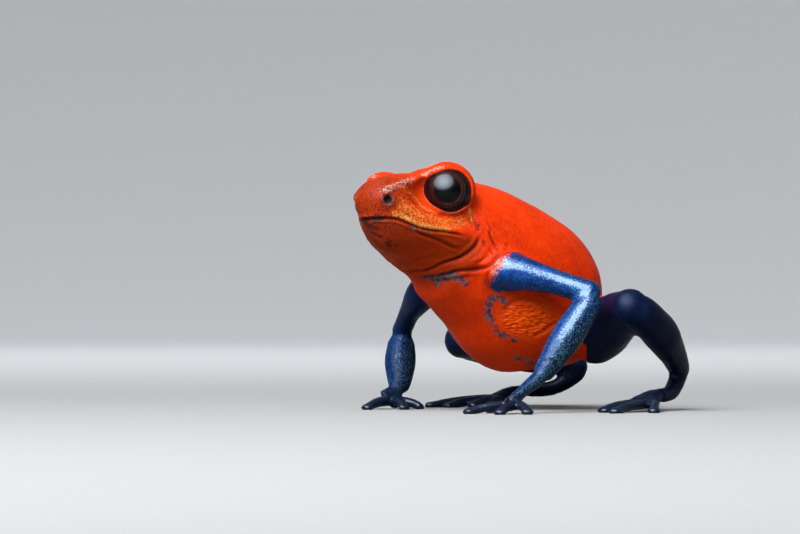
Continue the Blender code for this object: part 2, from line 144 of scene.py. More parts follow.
skin = {
    "voxel": 0.17,                       # first, even net over the joined forms
    "relaxSteps": (12, 3, 3, 2),         # on the even net, on the finer one twice, and on the finest
    "stepIn": 0.50,                      # smoothing moves a point this share towards its neighbours' mean
    "stepOut": 0.53,                     # and then this share away from it
    "pressed": (6, 4),                   # steps of smoothing where the face was pressed, and of fading it out
    "fillets": ((20, 0.003, 0.020), (6, 0.002, 0.010)),  # steps, hollows that start and get full filling
    "filletPull": 0.6,
    "filletFade": 2,
    "fineHeadBack": 6.8,                 # the net is halved on the head up to this far back
    "fineDigitReach": 0.75,              # this near the fingers and toes
    "fineFlank": ((3.45, 0.15, 5.25), 1.9),  # and round the pebbled patch on the left flank
    "ontoDigits": (0.60, 0.45),          # the net is drawn onto the digits from this far to this near
    "finestReach": 0.30,                 # it is halved again this near the mouth, nostrils and lids
    "finestLid": 0.05,                   # the middle of that band lies this far outside the lid's edge
    "finestPatch": 0.3,                  # and where the pebbled patch is at least this sure
    "finestQuad": 0.9,                   # but only quads with a diagonal under this share of the first net's
    "farAway": 1e3,                      # what is not near anything
}


def unit(vectors):
    return vectors / np.linalg.norm(vectors, axis=-1, keepdims=True)


def smooth(low, high, value):
    # 0 below low, 1 above high, and an even S between them
    t = np.clip((value - low) / (high - low), 0.0, 1.0)
    return t * t * (3 - 2 * t)


def bell(value, middle, width):
    # 1 at the middle, falling off as e to the minus square of the distance in widths
    return np.exp(-((value - middle) / width) ** 2)


def along(rows, count):
    # smooth curve through rows of numbers at even parameters: cubic pieces with Catmull-Rom slopes
    rows = np.array(rows, float)
    last = len(rows) - 1
    at = np.clip(np.linspace(0.0, last, count), 0.0, last - 1e-9)
    index = at.astype(int)
    t = (at - index)[:, None]
    start, end = rows[index], rows[index + 1]
    leave = (end - rows[np.maximum(index - 1, 0)]) / 2
    arrive = (rows[np.minimum(index + 2, last)] - start) / 2
    return (start * (2 * t**3 - 3 * t**2 + 1) + leave * (t**3 - 2 * t**2 + t)
            + end * (3 * t**2 - 2 * t**3) + arrive * (t**3 - t**2))


def roundEnds(distance, length, start, end):
    # a section shrinks as a half circle does within each cap
    scale = np.ones_like(distance)
    for depth, fromEnd in ((start, distance), (end, length - distance)):
        inside = np.clip(1 - fromEnd / depth, 0.0, 0.999)
        scale = scale * np.sqrt(1 - inside**2)
    return scale


def section(sides, above=2.0, below=2.0, taper=1.0):
    # superellipse: across = cos^(2/n), up = sin^(2/n), and the upper half narrows evenly to taper
    angle = np.linspace(0.0, 2 * pi, sides, endpoint=False)
    across, up = np.cos(angle), np.sin(angle)
    power = np.where(up >= 0, 2 / above, 2 / below)
    across = np.sign(across) * np.abs(across) ** power
    up = np.sign(up) * np.abs(up) ** power
    return across * np.where(up > 0, 1 + (taper - 1) * up, 1.0), up


def taperedRings(rows, side, count, sides, caps):
    # an ellipse carried along a curve; rows are x, y, z, half size to the side, above and below
    fine = along(rows, 200)
    travelled = np.append(0.0, np.cumsum(np.linalg.norm(np.diff(fine[:, :3], axis=0), axis=1)))
    length = travelled[-1]
    even = np.linspace(0.0, 1.0, count)  # rings stand closer at both ends, and a little short of them
    short = 0.002
    distance = length * (short + (1 - 2 * short) * (even + (1 - np.cos(pi * even)) / 2) / 2)
    rowsAt = np.stack([np.interp(distance, travelled, column) for column in fine.T], axis=1)
    centre = rowsAt[:, :3]
    ahead = unit(np.gradient(centre, axis=0))
    side = np.array(side, float)
    side = unit(side - (ahead @ side)[:, None] * ahead)
    up = np.cross(side, ahead)
    across, height = section(sides)
    half = rowsAt[:, 3:] * roundEnds(distance, length, *caps)[:, None]
    rise = np.where(height[None, :] >= 0, half[:, 1:2], half[:, -1:]) * height
    return (centre[:, None] + across[None, :, None] * half[:, 0, None, None] * side[:, None]
            + rise[:, :, None] * up[:, None])


headTurn = np.array((Matrix.Rotation(radians(head["yaw"]), 3, "Z")
                     @ Matrix.Rotation(radians(-head["pitch"]), 3, "X")
                     @ Matrix.Rotation(radians(-head["roll"]), 3, "Y")))
snoutTip = np.array(head["tip"])


def fromHead(points):
    # left, back and up from the snout tip to the body's frame
    return snoutTip + np.asarray(points, float) @ headTurn.T


def toHead(points):
    return (np.asarray(points, float) - snoutTip) @ headTurn


def headRings():
    # sections across the head, each with its own level, taper and squareness
    back, level, half, top, bottom, taper, above, below = along(head["stations"], head["rings"]).T
    scale = roundEnds(back + head["overrun"], back[-1] + 2 * head["overrun"], *head["caps"])
    rings = []
    for k in range(head["rings"]):
        across, up = section(head["sides"], above[k], below[k], taper[k])
        rise = np.where(up >= 0, top[k] - level[k], level[k] - bottom[k])
        rings.append(np.stack([across * half[k] * scale[k], np.full(head["sides"], back[k]),
                               level[k] + up * rise * scale[k]], axis=1))
    return fromHead(np.array(rings))


def ballRings(centre, radius, count, sides):
    # circles of latitude about z
    latitude = np.linspace(eye["poleGap"], pi - eye["poleGap"], count)[:, None]
    longitude = np.linspace(0.0, 2 * pi, sides, endpoint=False)[None, :]
    return centre + radius * np.stack([np.sin(latitude) * np.cos(longitude),
                                       np.sin(latitude) * np.sin(longitude),
                                       np.cos(latitude) + 0 * longitude], axis=2)


def eyePlace(sign):
    # middle of an eye in the head's frame; sign is 1 on the left
    place = np.array(eye["centre"]) * (sign, 1, 1)
    return place + eye["rightShift"] if sign < 0 else place


def eyeFrame(sign):
    # centre, outward, up and forward directions of an eye, in the body's frame
    outward = unit(np.array((sign * eye["outward"][0], *eye["outward"][1:])))
    up = unit(np.array((0.0, 0.0, 1.0)) - outward[2] * outward)
    forward = np.cross(outward, up) * sign
    centre = fromHead(eyePlace(sign))
    return centre, outward @ headTurn.T, up @ headTurn.T, forward @ headTurn.T


def limbRows(kind, side):
    # centre line and half sizes of one length of a limb, bowed at its middle
    start, end, across, bow, rows = limb["lengths"][kind]
    start, end = (np.array(limb["joints"][side][name]) for name in (start, end))
    bow = np.array(bow) * (1 if side == "left" else -1, 1, 1)
    slim = limb["slimmer"].get((kind, side), 1.0)
    rows = [(f, thick * slim, wide * slim) for f, thick, wide in rows]
    line = [(*(start + (end - start) * f + bow * 4 * f * (1 - f)), thick, wide, wide)
            for f, thick, wide in rows]
    caps = (rows[0][1], rows[-1][1] * limb["endCap"])
    line[-1] = (*(np.array(line[-1][:3]) + unit(end - start) * caps[1] * limb["overrun"]), *line[-1][3:])
    return line, across, caps


def digitRows(kind, side):
    # one list of rows for each finger or toe, fanned over the end of its hand or foot
    start, end = (np.array(limb["joints"][side][name]) for name in digit["grownFrom"][kind])
    ahead = unit((end - start) * (1, 1, 0))
    outwards = np.array((ahead[1], -ahead[0], 0.0))
    outwards = outwards * np.sign(outwards[0]) * (1 if side == "left" else -1)
    tips = digit["tips"][kind][side]
    digits = []
    for k, tip in enumerate(tips):
        root = end - ahead * digit["rootBack"] + outwards * (k - (len(tips) - 1) / 2) * digit["spread"]
        reach = np.array((*tip, digit["discHeight"])) - root
        rows = [(*(root + reach * f + (0, 0, lift)), wide, thick, thick)
                for f, lift, wide, thick in digit["profile"]]
        digits.append((rows, (-reach[1], reach[0], 0.0)))
    return digits


def ringQuads(rings, first=0):
    # number of each point, of the next one round its ring, and the quads between neighbouring rings
    count, sides = rings.shape[:2]
    number = first + np.arange(count * sides).reshape(count, sides)
    following = np.roll(number, -1, axis=1)
    quads = np.stack([number[:-1], following[:-1], following[1:], number[1:]], axis=2).reshape(-1, 4)
    return number, following, quads


def closeRings(rings, first):
    # the quads of the rings and a fan at each end; first is the number of its first point
    number, following, quads = ringQuads(rings, first)
    count, sides = number.shape
    ends = first + count * sides + np.arange(2)
    fans = [np.stack([following[0], number[0], np.full(sides, ends[0])], axis=1),
            np.stack([number[-1], following[-1], np.full(sides, ends[1])], axis=1)]
    points = np.concatenate([rings.reshape(-1, 3), rings[[0, -1]].mean(axis=1)])
    centre = points.mean(axis=0)
    outward = np.einsum("ij,ij->", points[quads[:, 0] - first] - centre,
                        np.cross(points[quads[:, 1] - first] - points[quads[:, 0] - first],
                                 points[quads[:, 2] - first] - points[quads[:, 0] - first]))
    triangles = np.concatenate(fans)
    if outward < 0:
        quads, triangles = quads[:, ::-1], triangles[:, ::-1]
    return points, quads, triangles


def meshFrom(name, points, quads, triangles, scale=1.0):
    mesh = bpy.data.meshes.new(name)
    corners = np.concatenate([quads.ravel(), triangles.ravel()]).astype(np.int32)
    starts = np.concatenate([np.arange(len(quads)) * 4, len(quads) * 4 + np.arange(len(triangles)) * 3])
    mesh.vertices.add(len(points))
    mesh.vertices.foreach_set("co", (points * scale).astype(np.float32).ravel())
    mesh.loops.add(len(corners))
    mesh.loops.foreach_set("vertex_index", corners)
    mesh.polygons.add(len(starts))
    mesh.polygons.foreach_set("loop_start", starts.astype(np.int32))
    mesh.update(calc_edges=True)
    mesh.shade_smooth()
    return mesh


def placed(name, mesh):
    obj = bpy.data.objects.new(name, mesh)
    bpy.context.scene.collection.objects.link(obj)
    return obj


def readBack(obj):
    # points and corners of the object as its modifiers leave it
    bpy.context.view_layer.update()
    mesh = obj.evaluated_get(bpy.context.evaluated_depsgraph_get()).data
    points = np.empty(len(mesh.vertices) * 3)
    mesh.vertices.foreach_get("co", points)
    corners = np.empty(len(mesh.loops), np.int32)
    mesh.loops.foreach_get("vertex_index", corners)
    return points.reshape(-1, 3), corners.astype(int)


def discard(obj):
    mesh = obj.data
    bpy.data.objects.remove(obj, do_unlink=True)
    bpy.data.meshes.remove(mesh)


def joinedForms():
    # every loft of the body as one object of overlapping closed shapes, in millimetres
    shapes = [taperedRings([(0.0, *row) for row in trunk["stations"]], (1, 0, 0), trunk["rings"],
                           trunk["sides"], trunk["caps"]), headRings()]
    for sign in (1, -1):
        centre, outward, up, forward = eyeFrame(sign)
        mound = centre + eye["lidForward"] * forward
        shapes.append(ballRings(mound, eye["lidBall"], *eye["nets"]["mound"]))
        for (inwards, back, up), radius in eye["swellings"]:
            middle = fromHead(eyePlace(sign) + (-sign * inwards, back, up))
            shapes.append(ballRings(middle, radius, *eye["nets"]["swelling"]))
    for side in ("left", "right"):
        for kind in limb["lengths"]:
            line, across, caps = limbRows(kind, side)
            shapes.append(taperedRings(line, across, limb["rings"], limb["sides"], caps))
        for kind in digit["tips"]:
            for line, across in digitRows(kind, side):
                shapes.append(taperedRings(line, across, digit["rings"], digit["sides"], digit["caps"]))
    points, quads, triangles = [], [], []
    count = 0
    for rings in shapes:
        newPoints, newQuads, newTriangles = closeRings(rings, count)
        points.append(newPoints)
        quads.append(newQuads)
        triangles.append(newTriangles)
        count += len(newPoints)
    return placed("forms", meshFrom("forms", np.concatenate(points), np.concatenate(quads),
                                    np.concatenate(triangles)))


class Net:
    # points with the quads and triangles between them, and what smooths and divides them

    def __init__(self, points, quads, triangles):
        self.points = points
        self.quads = quads
        self.triangles = triangles
        sides = [np.stack([corners[:, k], np.roll(corners, -1, axis=1)[:, k]], axis=1)
                 for corners in (quads, triangles) for k in range(corners.shape[1])]
        pairs = np.sort(np.concatenate(sides), axis=1)
        keys = np.unique(pairs[:, 0] * len(points) + pairs[:, 1])
        self.ends = np.stack([keys // len(points), keys % len(points)])
        self.degree = np.bincount(self.ends.ravel(), minlength=len(points))

    def spread(self, values):
        # mean of each point's neighbours
        values = values.reshape(len(self.points), -1)
        a, b = self.ends
        sums = [np.bincount(a, column[b], len(self.points)) + np.bincount(b, column[a], len(self.points))
                for column in values.T]
        return np.stack(sums, axis=1) / self.degree[:, None]

    def soften(self, values, steps):
        for step in range(steps):
            values = (values + self.spread(values)[:, 0]) / 2
        return values

    def relax(self, steps, weight=1.0):
        # Taubin: a step towards the neighbours' mean and a slightly longer one away from it
        weight = np.broadcast_to(weight, len(self.points))[:, None]
        for step in range(steps):
            self.points = self.points + skin["stepIn"] * weight * (self.spread(self.points) - self.points)
            self.points = self.points - skin["stepOut"] * weight * (self.spread(self.points) - self.points)

    def normals(self):
        total = np.zeros_like(self.points)
        corners = self.points[self.quads]
        faces = [(self.quads, np.cross(corners[:, 2] - corners[:, 0], corners[:, 3] - corners[:, 1]))]
        corners = self.points[self.triangles]
        faces.append((self.triangles, np.cross(corners[:, 1] - corners[:, 0], corners[:, 2] - corners[:, 0])))
        for numbers, normal in faces:
            for column in range(3):
                for k in range(numbers.shape[1]):
                    total[:, column] += np.bincount(numbers[:, k], normal[:, column], len(self.points))
        return unit(total + 1e-12)

    def fillet(self, steps, low, high):
        # valleys are filled: points below their neighbours' mean move towards it
        for step in range(steps):
            pull = self.spread(self.points) - self.points
            hollow = np.einsum("ij,ij->i", pull, self.normals())
            weight = self.soften(smooth(low, high, hollow), skin["filletFade"])
            self.points = self.points + skin["filletPull"] * weight[:, None] * pull

    def refined(self, chosen):
        # a chosen quad becomes four, and its neighbours get a fan of triangles round their middle
        quads, count = self.quads, len(self.points)
        following = np.roll(quads, -1, axis=1)
        keys = np.minimum(quads, following) * count + np.maximum(quads, following)
        unique, edge = np.unique(keys, return_inverse=True)
        edge = edge.reshape(-1, 4)
        split = np.zeros(len(unique), bool)
        split[edge[chosen].ravel()] = True
        middleNumber = count + np.cumsum(split) - 1
        middles = (self.points[unique[split] // count] + self.points[unique[split] % count]) / 2
        fanned = ~chosen & split[edge].any(axis=1)
        parted = chosen | fanned
        centreNumber = count + len(middles) + np.cumsum(parted) - 1
        centres = self.points[quads[parted]].mean(axis=1)
        middle, centre = middleNumber[edge], centreNumber
        fine = [np.stack([quads[chosen, k], middle[chosen, k], centre[chosen], middle[chosen, k - 1]], axis=1)
                for k in range(4)]
        fans = []
        for k in range(4):
            cut = fanned & split[edge[:, k]]
            plain = fanned & ~split[edge[:, k]]
            fans.append(np.stack([quads[cut, k], middle[cut, k], centre[cut]], axis=1))
            fans.append(np.stack([middle[cut, k], following[cut, k], centre[cut]], axis=1))
            fans.append(np.stack([quads[plain, k], following[plain, k], centre[plain]], axis=1))
        return Net(np.concatenate([self.points, middles, centres]),
                   np.concatenate([quads[~parted], *fine]), np.concatenate([self.triangles, *fans]))


def evenNet(forms):
    modifier = forms.modifiers.new("even", "REMESH")
    modifier.mode = "VOXEL"
    modifier.voxel_size = skin["voxel"]
    points, corners = readBack(forms)
    forms.modifiers.remove(modifier)
    return Net(points, corners.reshape(-1, 4), np.empty((0, 3), int))


def drawnOnto(net, forms, share):
    # every point moves its share of the way to the nearest point of the forms
    cloth = placed("cloth", meshFrom("cloth", net.points, net.quads, net.triangles))
    modifier = cloth.modifiers.new("onto", "SHRINKWRAP")
    modifier.target = forms
    modifier.wrap_method = "NEAREST_SURFACEPOINT"
    net.points = net.points + share[:, None] * (readBack(cloth)[0] - net.points)
    discard(cloth)


def digitLines():
    # points down the middle of every finger and toe
    return np.concatenate([along(line, 20)[:, :3] for side in ("left", "right")
                           for kind in digit["tips"] for line, across in digitRows(kind, side)])


def boxed(points, targets, reach):
    # which points lie within reach of the targets' box
    return ((points > targets.min(axis=0) - reach) & (points < targets.max(axis=0) + reach)).all(axis=1)


def nearestGap(points, targets, reach):
    # distance to the nearest target, worked out only for points within reach of the targets' box
    gap = np.full(len(points), skin["farAway"])
    near = boxed(points, targets, reach)
    best = np.full(near.sum(), skin["farAway"])
    for target in targets:
        best = np.minimum(best, np.linalg.norm(points[near] - target, axis=1))
    gap[near] = best
    return gap


# The eyelids.

lids = {
    "edge": (57.0, 8.0),                 # degrees from the outward line, and fewer by this at the top
    "frontCorner": (86.0, 33.0, 26.0, 42.0),  # where it lies round the eye, its reach, width above and below
    "rearCorner": (-119.0, 12.0, 10.0),  # where, reach and width
    "rim": (0.13, 0.06, 20.0),           # height of the rim over the ball, more of it, most at this angle
    "tucked": 0.26,                      # how far the skin runs on under the surface of the ball
    "rounding": (-0.17, 0.09),           # from and to, across the edge
    "kept": (1.50, 1.80),                # in the opening, skin this far from the eye's middle stays in place
    "blend": 0.75,                       # the rim meets the face this far outside the edge
    "cone": (-0.05, 1.05),               # start over the edge and slope of the cone that clears the eye
    "coneCentre": 125.0,                 # the angle round the eye that it faces
    "coneFade": (-0.35, 0.45),           # none and all of it, by the cosine from that angle
    "coneReach": (3.2, 2.4),             # and by the distance from the eye's middle
    "coneEdge": (-0.5, 0.0),             # skin this far below the cone counts as pressed: none, fully
    "keptFade": (0.0, 0.5),              # likewise for the skin that stays in place
    "reach": 2.2,                        # the lids end this far from the eye's middle
    "reachFade": 0.4,                    # and fade over the last part of it
    "seenAway": 1.0,                     # colours of the lid are found this near the ball
    "under": ((0.60, 0.30), (0.0, 0.6), 15.0),  # off the ball, by the cosine from below, turned this far
}


def lidEdge(around):
    # opening in degrees at an angle round the eye: 0 is up, 90 forwards, 180 down
    place, reach, above, below = lids["frontCorner"]
    front = around - place
    rear, rearReach, rearWidth = lids["rearCorner"]
    return (lids["edge"][0] - lids["edge"][1] * np.cos(np.radians(around))
            + reach * bell(front, 0.0, np.where(front < 0, above, below))
            + rearReach * bell(around, rear, rearWidth))


def aroundEye(points, sign):
    # for each point: height along the outward line, distance from it, and the angle round it
    centre, outward, up, forward = eyeFrame(sign)
    offset = points - centre
    height = offset @ outward
    flat = offset - height[:, None] * outward
    return height, np.linalg.norm(flat, axis=1), np.degrees(np.arctan2(flat @ forward, flat @ up))


def pastEdge(height, reach, around):
    # how far outside the lid's edge, measured on the ball
    return (np.arctan2(reach, height) - np.radians(lidEdge(around))) * eye["radius"]


def clearEye(net, sign):
    # in front of the eye and below it, the face is pressed under a cone that opens from the lid's edge
    height, reach, around = aroundEye(net.points, sign)
    edge = np.radians(lidEdge(around))
    start, slope = lids["cone"]
    limit = eye["radius"] * np.cos(edge) + start + slope * (reach - eye["radius"] * np.sin(edge))
    ahead = smooth(*lids["coneFade"], np.cos(np.radians(around - lids["coneCentre"])))
    near = smooth(*lids["coneReach"], np.hypot(height, reach)) * ahead
    over = height - limit
    pressed = np.where(over > 0, over, 0.0) * near
    net.points = net.points - pressed[:, None] * eyeFrame(sign)[1]
    return near * smooth(*lids["coneEdge"], over)


def shapeLids(net, sign):
    # within the opening the skin dips under the ball; its rounded rim then rises to the mound
    centre = eyeFrame(sign)[0]
    height, reach, around = aroundEye(net.points, sign)
    near = np.hypot(height, reach) < lids["reach"]
    height, reach, around = height[near], reach[near], around[near]
    distance = np.hypot(height, reach)
    direction = (net.points[near] - centre) / distance[:, None]
    past = pastEdge(height, reach, around)
    even, more, thickest = lids["rim"]
    rim = eye["radius"] + even + more * np.cos(np.radians(around - thickest))
    lid = rim + (distance - rim) * smooth(0.0, lids["blend"], past)
    inner = eye["radius"] - lids["tucked"]
    shown = smooth(*lids["rounding"], past)
    reached = inner + (lid - inner) * shown
    ahead = smooth(*lids["keptFade"], np.cos(np.radians(around - lids["coneCentre"])))
    reached = reached + (distance - reached) * (1 - shown) * ahead * smooth(*lids["kept"], distance)
    outside = smooth(lids["reach"] - lids["reachFade"], lids["reach"], distance)
    reached = reached + (distance - reached) * outside
    net.points[near] = centre + direction * reached[:, None]


sculpt = {
    # places that are evened out: frame, middle, radius, steps
    "ease": (("head", (1.35, 3.4, 3.0), 1.5, 10), ("head", (-1.35, 3.4, 3.0), 1.5, 10),
             ("body", (0.3, -4.3, 6.7), 1.9, 26), ("body", (-1.6, -4.2, 7.4), 1.3, 20),
             ("body", (2.0, -4.0, 7.4), 1.4, 22), ("body", (3.4, -2.8, 8.5), 1.1, 10)),
    "easeShare": 0.5,                    # of the way to the neighbours' mean, at each step
    "easeFull": 0.3,                     # within this share of the radius
    "joints": ("knee", "heel", "ankle"),
    "jointEase": (1.1, 6),
    "foldFade": (0.12, 0.80),            # a fold deepens up to here, and fades from here to its end
    "foldSwell": (2.2, 1.1),             # where it swells beside the line and how widely, in its widths
    "foldReach": 5,                      # it is worked out this far from the line, and its painted shade lies within this
    "foldShade": 0.85,
    "nostril": ((1.36, 0.43, 1.01), 0.20, 0.24, 0.05),  # left one in the head's frame, radius, depth, rim
    "pitReach": 4,                       # in its radii, as are the next three
    "pitRim": (1.7, 0.5),
    "pitDark": (1.30, 0.95),
    "pitRing": (1.5, 0.33),
    # grain: size of a grain and its height on the body, flank patch, limbs and head
    "grain": {"body": (0.26, 0.010), "flank": (0.17, 0.06), "limb": (0.22, 0.012), "head": (0.20, 0.007)},
    "grainJitter": 0.36,                 # how far a grain's middle strays, and its radius, in its size
    "grainRadius": 0.75,
    "grainLevel": 0.4,                   # this height of a grain lies on the plain skin
    "flankPatch": ((3.45, 0.15, 5.20), (1.1, 1.7, 1.05)),
    "flankStretch": (0.55, 0.55, 1.20),  # squeezing the places draws out the flank's grains
    "patchFade": (1.2, 0.8),
    "swelling": (0.035, 1.3),            # height and size of the slow waves over the whole body
    "headSwelling": 0.6,                 # share of it that the head goes without
}


def places(frameName, points):
    # points of the head's or the body's frame, in the body's frame
    return fromHead(points) if frameName == "head" else np.asarray(points, float)


def ease(net, frameName, middle, radius, steps):
    # plain smoothing, fading out towards the radius of the place
    distance = np.linalg.norm(net.points - places(frameName, middle), axis=1)
    weight = smooth(radius, sculpt["easeFull"] * radius, distance)[:, None]
    for step in range(steps):
        net.points = net.points + sculpt["easeShare"] * weight * (net.spread(net.points) - net.points)


def bodyNet():
    # the joined forms as one net, smoothed, and finer where the details need it
    forms = joinedForms()
    net = evenNet(forms)
    print("even net:", len(net.quads), "quads")
    evenSteps, fineSteps, settleSteps, finestSteps = skin["relaxSteps"]
    net.relax(evenSteps)
    pressed = clearEye(net, 1) + clearEye(net, -1)
    pressedSteps, fadeSteps = skin["pressed"]
    net.relax(pressedSteps, net.soften(np.minimum(pressed, 1.0), fadeSteps))
    net.fillet(*skin["fillets"][0])
    for place in sculpt["ease"]:
        ease(net, *place)
    for side in ("left", "right"):
        for joint in sculpt["joints"]:
            ease(net, "body", limb["joints"][side][joint], *sculpt["jointEase"])
    middles = net.points[net.quads].mean(axis=1)
    lines = digitLines()
    patch, patchReach = skin["fineFlank"]
    fine = ((toHead(middles)[:, 1] < skin["fineHeadBack"])
            | (nearestGap(middles, lines, 1.0) < skin["fineDigitReach"])
            | (np.linalg.norm(middles - patch, axis=1) < patchReach))
    net = net.refined(fine)
    net.relax(fineSteps)
    drawnOnto(net, forms, smooth(*skin["ontoDigits"], nearestGap(net.points, lines, 1.0)))
    discard(forms)
    net.relax(settleSteps)
    net.fillet(*skin["fillets"][1])
    middles = net.points[net.quads].mean(axis=1)
    finest = np.zeros(len(middles), bool)
    for sign in (1, -1):
        mouth = foldLine("mouth" if sign > 0 else "mouthRight", 1)
        spot = fromHead(np.array(sculpt["nostril"][0]) * (sign, 1, 1))[None]
        finest |= nearestGap(middles, np.concatenate([mouth, spot]), 0.5) < skin["finestReach"]
        height, reach, around = aroundEye(middles, sign)
        offEdge = np.abs(pastEdge(height, reach, around) - skin["finestLid"])
        finest |= (np.hypot(height, reach) < lids["reach"]) & (offEdge < skin["finestReach"])
    finest |= within(middles, *sculpt["flankPatch"]) > skin["finestPatch"]
    size = np.linalg.norm(net.points[net.quads[:, 0]] - net.points[net.quads[:, 2]], axis=1)
    net = net.refined(finest & (size < skin["finestQuad"] * skin["voxel"]))
    net.relax(finestSteps)
    print("refined net:", len(net.quads), "quads and", len(net.triangles), "triangles")
    return net


def solidShift():
    # from this file's frame to the solids': the eye's centre is the middle of its node's points
    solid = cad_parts["eye_left"].data
    corners = np.empty(len(solid.vertices) * 3)
    solid.vertices.foreach_get("co", corners)
    return corners.reshape(-1, 3).mean(axis=0) / millimetre - eyeFrame(1)[0]


shift = solidShift()
